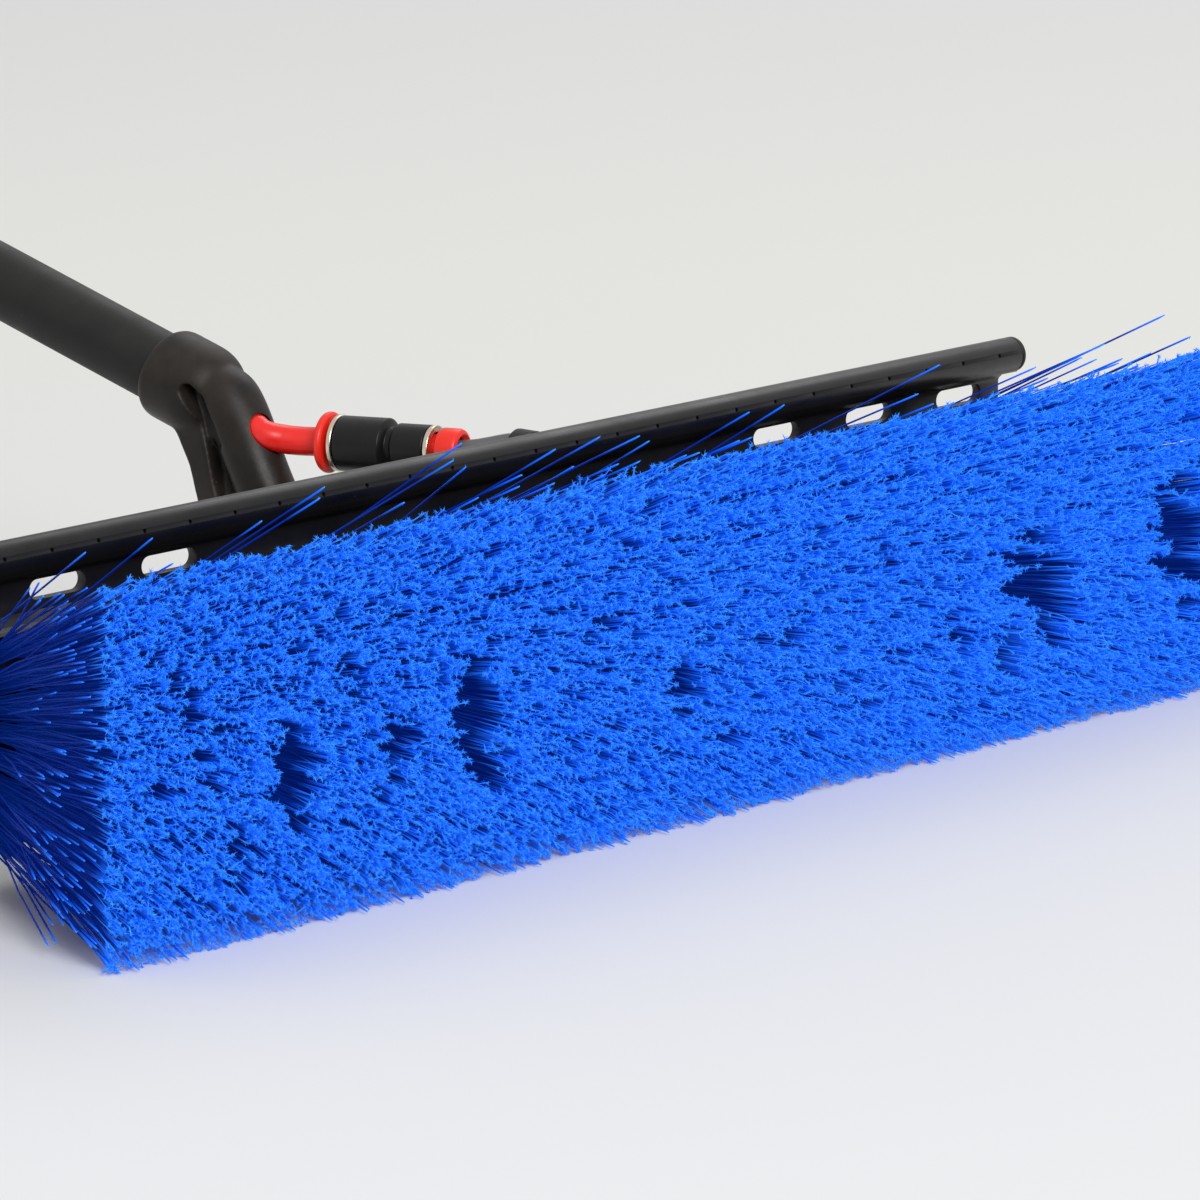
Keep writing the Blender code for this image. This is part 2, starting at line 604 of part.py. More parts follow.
def collar_right(place, start, body, narrow, seat):
    """The release collar round the stem: a deep rim outside the body and a sleeve inside it."""
    end = start + RIGHT_COLLAR_LENGTH
    inner = body - SLEEVE_IN_BODY + COLLAR_TRAVEL + GAP
    sleeve = narrow - 3 * GAP
    rim = RIGHT_COLLAR_RADIUS
    outline = (
        (inner, seat), (inner, sleeve), (start, sleeve), (start, rim - 0.0005), (start + 0.0006, rim),
        (end - 0.0014, rim), (end - 0.0005, rim - 0.0004), (end, rim - 0.0013), (end, seat + 0.0010),
        (end - 0.0012, seat),
    )
    turned("collar_right", outline, place, RED, 24, closed=True)


def inlet():
    """A boss saddled on the back of the bar's tube, and the stem that joins it to the union."""
    port = along((INLET_X, 0, TUBE_Z), Y_AXIS)
    foot = TUBE_RADIUS * 0.4
    boss = rod("bar_inlet", foot, foot + INLET_LENGTH, INLET_RADIUS, port, BLACK)
    half = WEB_LENGTH / 2
    cut(boss, rod("inlet_saddle", -half, half, TUBE_RADIUS + GAP, along((0, 0, TUBE_Z), X_AXIS)))
    web_top = (half, WEB_THICKNESS / 2 + GAP, TUBE_Z - TUBE_RADIUS + TUBE_WALL)
    cut(boss, block("inlet_web", (-half, -WEB_THICKNESS, WEB_LOW), web_top))
    seat = foot + INLET_LENGTH - 0.003
    cut(boss, rod("inlet_seat", seat, 2 * INLET_LENGTH, STEM_RADIUS + GAP, port))
    cut(boss, rod("inlet_bore", 0, 2 * INLET_LENGTH, SPIGOT_BORE, port, None, 12))
    axis = UNION_AXIS
    start = OUTLET + axis * (RIGHT_BODY_AT + GAP)
    collar_end = RIGHT_BODY_END + RING_LENGTH + COLLAR_TRAVEL + RIGHT_COLLAR_LENGTH
    straight = [start, OUTLET + axis * RIGHT_BODY_END, OUTLET + axis * (collar_end + 0.002)]
    foot_at = Vector((INLET_X, seat + GAP, TUBE_Z))
    points = [*straight, *(foot_at + Y_AXIS * y for y in (0.0065, 0.0045, 0.0025, 0))]
    return tube("inlet_stem", through_points(points, 4), STEM_RADIUS, GREY, 3)


def neck_pin():
    """A headed pin across the bracket's sleeve, which keeps the neck's foot in it."""
    place = along((0, SLEEVE_PIN_Y, NECK_Z), X_AXIS)
    reach = SLEEVE_RADIUS + GAP
    profile = (
        (-reach - 0.0022, 0), (-reach - 0.0022, PIN_RADIUS), (-reach - 0.0015, 2 * PIN_RADIUS * 0.9),
        (-reach, 2 * PIN_RADIUS), (-reach, PIN_RADIUS), (reach + 0.0015, PIN_RADIUS), (reach + 0.0015, 0),
    )
    turned("neck_pin", profile, place, STEEL, 16)
    ring("neck_pin_clip", reach, reach + 0.0010, 2 * PIN_RADIUS, PIN_RADIUS + GAP, place, STEEL, 16)


def end_caps():
    """A moulded cap pressed against each end of the stock."""
    for side, name in ((-1, "left"), (1, "right")):
        near = side * (STOCK_LENGTH / 2 + GAP)
        far = side * (STOCK_LENGTH / 2 + GAP + CAP_THICKNESS)
        low = (min(near, far), STOCK_FRONT, STOCK_Z - STOCK_HEIGHT / 2)
        high = (max(near, far), STOCK_BACK, STOCK_Z + STOCK_HEIGHT / 2)
        block(f"stock_cap_{name}", low, high, BLACK, CAP_THICKNESS / 3)


def union():
    """The push-fit union: a stepped body, and at each end a ring, a collar, a grab ring and a seal."""
    place = along(OUTLET, UNION_AXIS)
    left = LEFT_COLLAR_AT + LEFT_FLANGE + COLLAR_TRAVEL + GAP
    left_body = left + RING_LENGTH + GAP
    left_room = left_body + SLEEVE_IN_BODY + GRAB_LENGTH + SEAL_LENGTH + 3 * GAP
    right = RIGHT_BODY_END
    right_room = right - SLEEVE_IN_BODY - GRAB_LENGTH - SEAL_LENGTH - 3 * GAP
    wide = LEFT_BODY_RADIUS - 0.0016
    narrow = RIGHT_BODY_RADIUS - 0.0015
    hose_seat = HOSE_RADIUS + GAP
    stem_seat = STEM_RADIUS + GAP
    stop = LEFT_BODY_END - 0.002
    outline = (
        (left_body, wide), (left_body, LEFT_BODY_RADIUS), (LEFT_BODY_END, LEFT_BODY_RADIUS),
        (LEFT_BODY_END + 0.0006, LEFT_BODY_RADIUS - 0.0008), (LEFT_BODY_END + 0.0010, WAIST_RADIUS),
        (RIGHT_BODY_AT - 0.0004, WAIST_RADIUS), (RIGHT_BODY_AT, RIGHT_BODY_RADIUS - 0.0004),
        (RIGHT_BODY_AT + 0.0005, RIGHT_BODY_RADIUS), (right, RIGHT_BODY_RADIUS), (right, narrow),
        (right_room, narrow), (right_room, stem_seat), (RIGHT_BODY_AT - 0.0012, stem_seat),
        (RIGHT_BODY_AT - 0.0012, SPIGOT_BORE), (stop, SPIGOT_BORE), (stop, hose_seat),
        (left_room, hose_seat), (left_room, wide),
    )
    turned("union_body", outline, place, BLACK, 24, closed=True)
    ring("union_ring_left", left, left + RING_LENGTH, LEFT_BODY_RADIUS + 0.0002, wide - 2 * GAP, place, STEEL)
    ring("union_ring_right", right + GAP, right + GAP + RING_LENGTH, RIGHT_BODY_RADIUS, narrow - GAP, place, STEEL)
    collar_left(place, left_body, wide, hose_seat)
    collar_right(place, right + 2 * GAP + RING_LENGTH + COLLAR_TRAVEL, right, narrow, stem_seat)
    grab = left_body + SLEEVE_IN_BODY
    ring("grab_ring_left", grab, grab + GRAB_LENGTH, wide - GAP, hose_seat, place, STEEL, 16)
    seal = grab + GRAB_LENGTH + GAP
    ring("union_seal_left", seal, seal + SEAL_LENGTH, wide - GAP, hose_seat, place, RUBBER, 16)
    grab = right - SLEEVE_IN_BODY - GAP - GRAB_LENGTH
    ring("grab_ring_right", grab, grab + GRAB_LENGTH, narrow - GAP, stem_seat, place, STEEL, 16)
    seal = grab - GAP - SEAL_LENGTH
    ring("union_seal_right", seal, seal + SEAL_LENGTH, narrow - GAP, stem_seat, place, RUBBER, 16)


def main():
    for n in range(ROWS):
        bristle_row(n)
    body = stock()
    bar_screws = bar_screw_places()
    bracket_screws = bracket_screw_places()
    for n, place in enumerate(bar_screws + bracket_screws):
        cut(body, screw_hole(f"stock_hole_{n}", place, -Y_AXIS))
    rinse_bar(bar_screws)
    bar_end(-1, "left")
    bar_end(1, "right")
    for n, place in enumerate(bar_screws):
        screw(f"bar_screw_{n + 1}", place, -Y_AXIS)
    bracket(bracket_screws)
    for n, place in enumerate(bracket_screws):
        screw(f"bracket_screw_{n + 1}", place, -Y_AXIS)
    neck()
    pole()
    tube("hose", hose_route(), HOSE_RADIUS, RED, 3)
    union()
    inlet()
    neck_pin()
    end_caps()
    bpy.context.view_layer.update()


main()
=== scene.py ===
# %% [markdown]
# # A solar panel cleaning brush, dressed for its photograph
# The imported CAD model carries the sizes, the joints and the collision. This lesson puts the looks on it: blue
# filaments by the ten thousand, a moulded neck, an extruded rinse bar and a small push-fit union. Every new surface
# is worked out with numpy as whole arrays, and every finish is a Principled BSDF fed by a few shared node groups.

# %% Load the frame
import math

import bmesh
import bpy
import numpy as np
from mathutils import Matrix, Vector


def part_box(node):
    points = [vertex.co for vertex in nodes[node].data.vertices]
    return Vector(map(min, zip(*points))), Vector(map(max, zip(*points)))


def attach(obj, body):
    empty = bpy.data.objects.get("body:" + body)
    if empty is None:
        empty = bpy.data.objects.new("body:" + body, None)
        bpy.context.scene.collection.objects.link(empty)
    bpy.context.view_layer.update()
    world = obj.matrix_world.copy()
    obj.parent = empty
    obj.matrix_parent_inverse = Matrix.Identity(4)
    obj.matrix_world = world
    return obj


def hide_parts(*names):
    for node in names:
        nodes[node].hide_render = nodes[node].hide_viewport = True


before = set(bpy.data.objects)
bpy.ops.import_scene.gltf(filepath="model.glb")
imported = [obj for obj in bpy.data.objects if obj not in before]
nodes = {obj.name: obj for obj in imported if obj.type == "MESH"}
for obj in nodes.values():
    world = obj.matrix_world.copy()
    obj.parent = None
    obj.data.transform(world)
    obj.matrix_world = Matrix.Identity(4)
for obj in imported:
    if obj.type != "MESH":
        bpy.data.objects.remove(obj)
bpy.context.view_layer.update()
plug_low, plug_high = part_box("bar_plug_left")
BAR_Y = (plug_low.y + plug_high.y) / 2
BAR_Z = (plug_low.z + plug_high.z) / 2
print("the bar's tube lies along y", round(BAR_Y, 5), "z", round(BAR_Z, 5))

# %% [markdown]
# The photograph was taken with a long lens from the left end, a little above the bristles, so that the face runs
# away to the upper right. A camera that stands two metres away with a 240 mm lens gives the same flat perspective.

# %% Camera
CAMERA_AT = Vector((-1.5475, BAR_Y - 1.413483, 0.4740))
CAMERA_LOOKS = Vector((0.7331, 0.6496, -0.2013))


def placed(name, data):
    """A new object in the scene that shows a mesh, a curve, a lamp or a camera."""
    made = bpy.data.objects.new(name, data)
    bpy.context.scene.collection.objects.link(made)
    return made


camera = placed("camera", bpy.data.cameras.new("camera"))
camera.location = CAMERA_AT
camera.rotation_euler = CAMERA_LOOKS.to_track_quat("-Z", "Y").to_euler()
camera.data.lens = 240
camera.data.sensor_width = 36
camera.data.clip_start, camera.data.clip_end = 0.05, 60
bpy.context.scene.camera = camera

# %% [markdown]
# A mesh here is an array of points and an array of faces. `grid_faces` joins a grid of points that is closed
# around, along, or both; `piece_of` puts the arrays into Blender, gives the mesh its finish and the body that it
# moves with. A mesh can also carry a UV map, which the filaments use for a hair's shade and the place along it.

# %% Meshes from arrays
def grid_faces(rows, columns, around=True):
    """Quads between the rows of a points grid. With around, the last column joins the first."""
    reach = columns if around else columns - 1
    row, column = np.meshgrid(np.arange(rows - 1), np.arange(reach), indexing="ij")
    following = (column + 1) % columns
    corners = [row * columns + column, row * columns + following]
    corners += [corners[1] + columns, corners[0] + columns]
    return np.stack(corners, axis=-1).reshape(-1, 4)


def mesh_of(name, points, faces):
    """A mesh from its arrays. Faces are an (n, 3) or (n, 4) array, or a list of such arrays."""
    faces = faces if isinstance(faces, list) else [faces]
    sizes = np.concatenate([np.full(len(f), f.shape[1]) for f in faces])
    corners = np.concatenate([f.reshape(-1) for f in faces]).astype(np.int32)
    mesh = bpy.data.meshes.new(name)
    mesh.vertices.add(len(points))
    mesh.vertices.foreach_set("co", np.asarray(points, np.float32).reshape(-1))
    mesh.loops.add(len(corners))
    mesh.loops.foreach_set("vertex_index", corners)
    mesh.polygons.add(len(sizes))
    mesh.polygons.foreach_set("loop_start", np.concatenate([[0], np.cumsum(sizes)[:-1]]).astype(np.int32))
    mesh.polygons.foreach_set("use_smooth", np.full(len(sizes), True))
    mesh.update(calc_edges=True)
    return mesh


def piece_of(name, mesh, finish, body="brush", uv=None, sharp=None):
    """An object that moves with a body. Edges that turn by more than sharp degrees stay crisp."""
    if uv is not None:
        corners = np.empty(len(mesh.loops), np.int32)
        mesh.loops.foreach_get("vertex_index", corners)
        layer = mesh.uv_layers.new(name="along")
        layer.uv.foreach_set("vector", np.asarray(uv, np.float32)[corners].reshape(-1))
    if sharp:
        mesh.set_sharp_from_angle(angle=math.radians(sharp))
    mesh.materials.clear()
    mesh.materials.append(finish)
    piece = placed(name, mesh)
    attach(piece, body)
    return piece


# %% [markdown]
# ## Finishes
# Nothing on the brush is one flat colour. Moulded black plastic has a fine spark grain and picks up pale dust on
# its upper sides; a nylon filament has painted shade where it is packed and is lightest at its frayed tip. Each of
# these effects is a node group with named sockets, built once and placed in each material with its own values.

# %% A small language for node groups
def group_of(name, inputs, outputs):
    """An empty shader node group. Inputs are (name, kind, default) and outputs (name, kind)."""
    tree = bpy.data.node_groups.new(name, "ShaderNodeTree")
    for label, kind, default in inputs:
        socket = tree.interface.new_socket(label, in_out="INPUT", socket_type=f"NodeSocket{kind}")
        socket.default_value = default
    for label, kind in outputs:
        tree.interface.new_socket(label, in_out="OUTPUT", socket_type=f"NodeSocket{kind}")
    return tree, tree.nodes.new("NodeGroupInput"), tree.nodes.new("NodeGroupOutput")


def feed(tree, made, inputs):
    """Links or fills a node's inputs, given by name or number."""
    for label, value in inputs.items():
        if isinstance(value, bpy.types.NodeSocket):
            tree.links.new(value, made.inputs[label])
        else:
            made.inputs[label].default_value = value


def node(tree, kind, inputs=None, **settings):
    made = tree.nodes.new(kind)
    for label, value in settings.items():
        setattr(made, label, value)
    feed(tree, made, inputs or {})
    return made


def scaled(tree, value, factor, offset=0.0):
    return node(tree, "ShaderNodeMath", {0: value, 1: factor, 2: offset}, operation="MULTIPLY_ADD").outputs[0]


def combined(tree, operation, first, second, clamped=False):
    return node(tree, "ShaderNodeMath", {0: first, 1: second}, operation=operation, use_clamp=clamped).outputs[0]


def ranged(tree, value, low, high, made_low=0.0, made_high=1.0):
    """A value between low and high, held there and spread from made_low to made_high."""
    ends = {"From Min": low, "From Max": high, "To Min": made_low, "To Max": made_high}
    return node(tree, "ShaderNodeMapRange", {"Value": value, **ends}).outputs[0]


def noise(tree, place, scale, detail, roughness=0.5):
    settings = {"Vector": place, "Scale": scale, "Detail": detail, "Roughness": roughness}
    return node(tree, "ShaderNodeTexNoise", settings).outputs["Fac"]


def mixed(tree, share, first, second):
    """Two colours mixed. Inputs 6 and 7 are the Mix node's colours A and B, and its output 2 is their mix."""
    first, second = (c if isinstance(c, bpy.types.NodeSocket) else (*c, 1) for c in (first, second))
    return node(tree, "ShaderNodeMix", {"Factor": share, 6: first, 7: second}, data_type="RGBA").outputs[2]


# %% Moulded grain: colour and gloss that drift a little, and a fine spark-eroded bump
GRAIN, grain_in, grain_out = group_of(
    "moulded_grain",
    [("Color", "Color", (0.02, 0.02, 0.02, 1)), ("Wear And Reflection Color", "Color", (0.05, 0.05, 0.05, 1)),
     ("Roughness", "Float", 0.4), ("Drift", "Float", 0.3), ("Grain Scale", "Float", 1800.0)],
    [("Color", "Color"), ("Roughness", "Float"), ("Height", "Float")],
)
place = node(GRAIN, "ShaderNodeTexCoord").outputs["Object"]
clouds = noise(GRAIN, place, 38.0, 5.0, 0.6)
fine = noise(GRAIN, place, grain_in.outputs["Grain Scale"], 3.0)
share = combined(GRAIN, "MULTIPLY", ranged(GRAIN, clouds, 0.35, 0.7), grain_in.outputs["Drift"])
# the second colour is wear, and on the neck it is also a mottle of painted reflection
colour = mixed(GRAIN, share, grain_in.outputs["Color"], grain_in.outputs["Wear And Reflection Color"])
rough = combined(GRAIN, "ADD", grain_in.outputs["Roughness"], scaled(GRAIN, share, 0.35))
rough = combined(GRAIN, "ADD", rough, scaled(GRAIN, fine, 0.16, -0.08), clamped=True)
feed(GRAIN, grain_out, {"Color": colour, "Roughness": rough, "Height": fine})

# %% Dust: a pale film and a few specks on what faces up
DUST, dust_in, dust_out = group_of(
    "settled_dust",
    [("Color", "Color", (0.02, 0.02, 0.02, 1)), ("Amount", "Float", 0.15), ("Specks", "Float", 0.5)],
    [("Color", "Color")],
)
place = node(DUST, "ShaderNodeTexCoord").outputs["Object"]
facing = node(DUST, "ShaderNodeSeparateXYZ", {0: node(DUST, "ShaderNodeNewGeometry").outputs["Normal"]})
upward = ranged(DUST, facing.outputs["Z"], 0.1, 1.0)
settled = combined(DUST, "MULTIPLY", upward, noise(DUST, place, 90.0, 6.0, 0.7))
settled = combined(DUST, "MULTIPLY", settled, dust_in.outputs["Amount"])
grit = node(DUST, "ShaderNodeTexVoronoi", {"Vector": place, "Scale": 520.0, "Randomness": 1.0})
lone = ranged(DUST, grit.outputs["Distance"], 0.10, 0.05)
rare = combined(DUST, "GREATER_THAN", grit.outputs["Color"], 0.86)
specks = combined(DUST, "MULTIPLY", combined(DUST, "MULTIPLY", lone, rare), dust_in.outputs["Specks"])
both = combined(DUST, "ADD", settled, specks, clamped=True)
feed(DUST, dust_out, {"Color": mixed(DUST, both, dust_in.outputs["Color"], (0.42, 0.41, 0.39))})


# %% Materials of the hard pieces
def principled(name, colour, roughness, metallic=0.0, **sockets):
    """A material with a Principled BSDF, whose plain values sit on its own sockets."""
    material = bpy.data.materials.new(name)
    material.use_nodes = True
    tree = material.node_tree
    shader = tree.nodes["Principled BSDF"]
    feed(tree, shader, {"Base Color": (*colour, 1), "Roughness": roughness, "Metallic": metallic})
    feed(tree, shader, {label.replace("_", " "): value for label, value in sockets.items()})
    return material, tree, shader


def moulded(name, colour, wear_and_reflection, roughness, drift, grain_scale, bump, dust, **sockets):
    """Moulded or coated plastic: grain drives colour, gloss and bump, and dust lies on its upper sides."""
    material, tree, shader = principled(name, colour, roughness, **sockets)
    grain = node(tree, "ShaderNodeGroup", {
        "Color": (*colour, 1), "Wear And Reflection Color": (*wear_and_reflection, 1), "Roughness": roughness, "Drift": drift,
        "Grain Scale": grain_scale,
    }, node_tree=GRAIN).outputs
    dusty = node(tree, "ShaderNodeGroup", {
        "Color": grain["Color"], "Amount": dust, "Specks": min(1.0, dust * 3),
    }, node_tree=DUST).outputs
    raised = node(tree, "ShaderNodeBump", {"Height": grain["Height"], "Distance": bump}).outputs
    feed(tree, shader, {
        "Base Color": dusty["Color"], "Roughness": grain["Roughness"], "Normal": raised["Normal"],
    })
    return material


# After the two colours come the roughness, the drift, the grain's scale, its height in metres and the dust
BAR_BLACK = moulded("satin_black_bar", (0.0035, 0.0036, 0.0040), (0.009, 0.009, 0.010), 0.27, 0.5, 2600, 0.000010,
                    0.05, Specular_IOR_Level=0.34)
STOCK_BLACK = moulded("black_stock", (0.006, 0.006, 0.0065), (0.014, 0.014, 0.015), 0.42, 0.4, 1500, 0.00003, 0.08,
                      Specular_IOR_Level=0.35)
# the neck's second colour is a brown mottle: partly the plastic's brown tone, partly painted reflection
NECK_CHARCOAL = moulded("charcoal_neck", (0.0050, 0.0044, 0.0040), (0.030, 0.0225, 0.0170), 0.30, 0.9, 1600, 0.00003,
                        0.04, Specular_IOR_Level=0.22)
POLE_CHARCOAL = moulded("charcoal_pole", (0.0075, 0.0072, 0.0070), (0.017, 0.0155, 0.0145), 0.42, 0.6, 1300, 0.00003,
                        0.05, Specular_IOR_Level=0.26)
UNION_BLACK = moulded("union_black", (0.0040, 0.0042, 0.0046), (0.009, 0.009, 0.010), 0.26, 0.4, 2200, 0.00001, 0.03,
                      Specular_IOR_Level=0.26)
COLLAR_RED = moulded("collar_red", (0.84, 0.020, 0.008), (0.66, 0.012, 0.006), 0.30, 0.4, 2400, 0.000006, 0.02)
HOSE_RED = moulded("hose_red", (0.80, 0.010, 0.005), (0.62, 0.006, 0.004), 0.25, 0.5, 900, 0.00001, 0.02,
                   Coat_Weight=0.25, Coat_Roughness=0.15)
STEM_GREY = moulded("stem_grey", (0.09, 0.09, 0.095), (0.13, 0.13, 0.135), 0.32, 0.4, 1500, 0.00001, 0.06)
RUBBER_BLACK = moulded("seal_rubber", (0.012, 0.012, 0.012), (0.03, 0.03, 0.03), 0.75, 0.5, 1200, 0.00002, 0.2)


def turned_metal(name, colour, roughness):
    """Bright metal whose fine turning marks come from a noise drawn out along one axis."""
    material, tree, shader = principled(name, colour, roughness, 1.0)
    place = node(tree, "ShaderNodeTexCoord").outputs["Object"]
    drawn = node(tree, "ShaderNodeMapping", {"Vector": place, "Scale": (900, 5200, 900)})
    marks = noise(tree, drawn.outputs[0], 1.0, 4.0)
    shade = ranged(tree, marks, 0.0, 1.0, 0.7, 1.0)
    feed(tree, shader, {
        "Base Color": mixed(tree, shade, [c * 0.6 for c in colour], colour),
        "Roughness": scaled(tree, marks, 0.25, roughness - 0.1),
        "Normal": node(tree, "ShaderNodeBump", {"Height": marks, "Distance": 0.000008}).outputs["Normal"],
    })
    return material


RING_STEEL = turned_metal("union_ring_metal", (0.83, 0.76, 0.62), 0.24)
SCREW_STEEL = turned_metal("screw_steel", (0.62, 0.62, 0.63), 0.30)

# %% [markdown]
# A filament's finish follows the hair itself: its UV map holds a shade of its own, from 0 to 1, and the place
# along it. Deep in the tuft it is painted a dark ultramarine as painted shade, at the face it is bright, and its cut
# end is paler. A blue this deep comes out greyish under a white lamp, so a weak painted glow, an emission of the
# same colour, lifts it.

# %% Filament material
FILAMENT, hair_in, hair_out = group_of(
    "filament_colour",
    [("UV", "Vector", (0, 0, 0)), ("Painted Shade", "Color", (0.0, 0.03, 0.4, 1)), ("Bright", "Color", (0.01, 0.12, 0.95, 1)),
     ("Pale", "Color", (0.2, 0.4, 1.0, 1))],
    [("Color", "Color"), ("Roughness", "Float")],
)
parted = node(FILAMENT, "ShaderNodeSeparateXYZ", {0: hair_in.outputs["UV"]})
shade, along_hair = parted.outputs["X"], parted.outputs["Y"]
# lit carries painted shade: the hair is dark deep in the tuft and bright near the face, where light reaches it
lit = ranged(FILAMENT, along_hair, 0.860, 0.985)
colour = mixed(FILAMENT, lit, hair_in.outputs["Painted Shade"], hair_in.outputs["Bright"])
# the random paler share is dimmed where the painted shade is
lighter = combined(FILAMENT, "MULTIPLY", scaled(FILAMENT, shade, 0.6), scaled(FILAMENT, lit, 0.9, 0.1))
colour = mixed(FILAMENT, lighter, colour, hair_in.outputs["Pale"])
cut_end = ranged(FILAMENT, along_hair, 0.985, 1.0, 0.0, 0.5)
colour = mixed(FILAMENT, cut_end, colour, hair_in.outputs["Pale"])
feed(FILAMENT, hair_out, {"Color": colour, "Roughness": scaled(FILAMENT, shade, 0.20, 0.55)})


def filament_finish(name, painted_shade, bright, pale):
    # the emission is a painted glow in the hair's own colour, standing in for light that the nylon passes on
    material, tree, shader = principled(name, bright, 0.45, Specular_IOR_Level=0.10, Sheen_Weight=0.06,
                                        Sheen_Roughness=0.35, Sheen_Tint=(0.02, 0.25, 1.0, 1.0),
                                        Emission_Strength=0.26)
    hair = node(tree, "ShaderNodeGroup", {
        "UV": node(tree, "ShaderNodeUVMap", uv_map="along").outputs["UV"],
        "Painted Shade": (*painted_shade, 1), "Bright": (*bright, 1), "Pale": (*pale, 1),
    }, node_tree=FILAMENT).outputs
    feed(tree, shader, {
        "Base Color": hair["Color"], "Emission Color": hair["Color"], "Roughness": hair["Roughness"],
    })
    return material


# the first colour is the painted shade deep in the tufts
BRISTLE_BLUE = filament_finish("bristle_blue", (0.000, 0.018, 0.26), (0.003, 0.145, 1.0), (0.055, 0.37, 1.0))

# %% [markdown]
# ## Filaments
# On the real brush each hole of the stock holds a tuft of split-tip nylon, folded in half and stapled. The tufts
# fan out until their tips meet in one even carpet, with small dark pits all over and a few partings where use has
# pushed the filaments aside. A particle system would hide these shapes in settings, so here every filament is
# computed: a root in its hole, a tip in its cell, a bend between them, and sixteen short hairs at its frayed end.

# %% The tuft grid, from the CAD rows
ROWS, TUFTS, HAIRS_IN_TUFT = 8, 42, 69
ROOT_DEPTH, HOLE_WIDE, HOLE_TALL, STRIP_WALL = 0.0035, 0.0030, 0.0023, 0.0014
HALF_ROOT, HALF_TIP, TIP_TOP = 0.2050, 0.2350, 0.096
row_box = [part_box(f"bristle_row_{n + 1}") for n in range(ROWS)]
TIP_PLANE = row_box[3][0].y
ROOT_PLANE = max(high.y for _, high in row_box) - ROOT_DEPTH
stock_low, stock_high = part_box("stock")
ROOT_LOW = stock_low.z + STRIP_WALL
ROOT_PITCH = (stock_high.z - stock_low.z - 2 * STRIP_WALL) / ROWS
print("tips at y", round(TIP_PLANE, 4), "roots at y", round(ROOT_PLANE, 4))

# Partings on the face as (x, z, half width, half height, number of openings) in metres
PARTINGS = (
    (-0.168, 0.0375, 0.0075, 0.0110, 5), (-0.131, 0.0400, 0.0065, 0.0080, 3), (-0.1010, 0.0400, 0.0095, 0.0150, 6),
    (-0.0225, 0.0370, 0.0070, 0.0065, 3), (0.0193, 0.0436, 0.0050, 0.0020, 1), (0.1270, 0.0400, 0.0150, 0.0150, 7),
    (0.1120, 0.0250, 0.0080, 0.0045, 2), (-0.1878, 0.0194, 0.0065, 0.0040, 2), (0.1930, 0.0430, 0.0150, 0.0170, 7),
    (-0.2050, 0.0640, 0.0060, 0.0050, 2), (0.0600, 0.0600, 0.0055, 0.0040, 2), (-0.1480, 0.0600, 0.0050, 0.0035, 2),
    (0.0900, 0.0330, 0.0060, 0.0030, 2), (-0.0600, 0.0180, 0.0100, 0.0006, 3), (0.0000, 0.0195, 0.0250, 0.0006, 6),
    (0.0520, 0.0200, 0.0160, 0.0006, 4),
)


# %% Openings between the tufts
def openings():
    """Small ellipses where tips stand apart, as rows of (x, z, half width, half height, depth).

    Each parting is one wide opening with a handful of flat ones at its sides, which make its rim ragged. One that
    is less than 1 mm tall is only a line of flat ones, smaller and less deep. Between them the carpet is pitted
    everywhere, on a grid of 8 by 7 mm that is shaken by half a step, with smaller pits along the lower edge.
    """
    rng = np.random.default_rng(41)
    made = []
    for x, z, wide, tall, count in PARTINGS:
        if tall > 0.001:
            made.append(np.array([(x, z, 0.66 * wide, 0.62 * tall, 1.3)]))
        size, depth = (1, 1) if tall > 0.001 else (0.4, 0.65)
        up = np.linspace(-1, 1, count) if count > 1 else np.zeros(1)
        width = wide * np.sqrt(1.05 - 0.6 * up**2) * rng.uniform(0.50, 0.90, count) * size
        at_x = x + wide * rng.uniform(-0.45, 0.45, count) - 0.3 * up * wide
        height = rng.uniform(0.0024, 0.0038, count) * size
        made.append(np.column_stack([at_x, z + tall * up, width, height, rng.uniform(1.15, 1.5, count) * depth]))
    x, z = np.meshgrid(np.arange(-0.231, 0.232, 0.0080), np.arange(0.006, 0.094, 0.0070))
    x = x.ravel() + rng.uniform(-0.0040, 0.0040, x.size)
    z = z.ravel() + rng.uniform(-0.0034, 0.0034, z.size)
    strength = rng.beta(1.3, 1.8, x.size) * np.clip(0.25 + z / 0.045, 0.25, 1)
    smallest, growth = np.array([0.0009, 0.0006, 0.35]), np.array([0.0026, 0.0015, 0.75])
    made.append(np.column_stack([x, z, smallest + growth * strength[:, None]]))
    return np.concatenate(made)


OPENINGS = openings()
TILT = math.radians(-14)
PUSH_REACH, PUSH_POWER = 1.8, 1.3
print("openings between tufts:", len(OPENINGS))


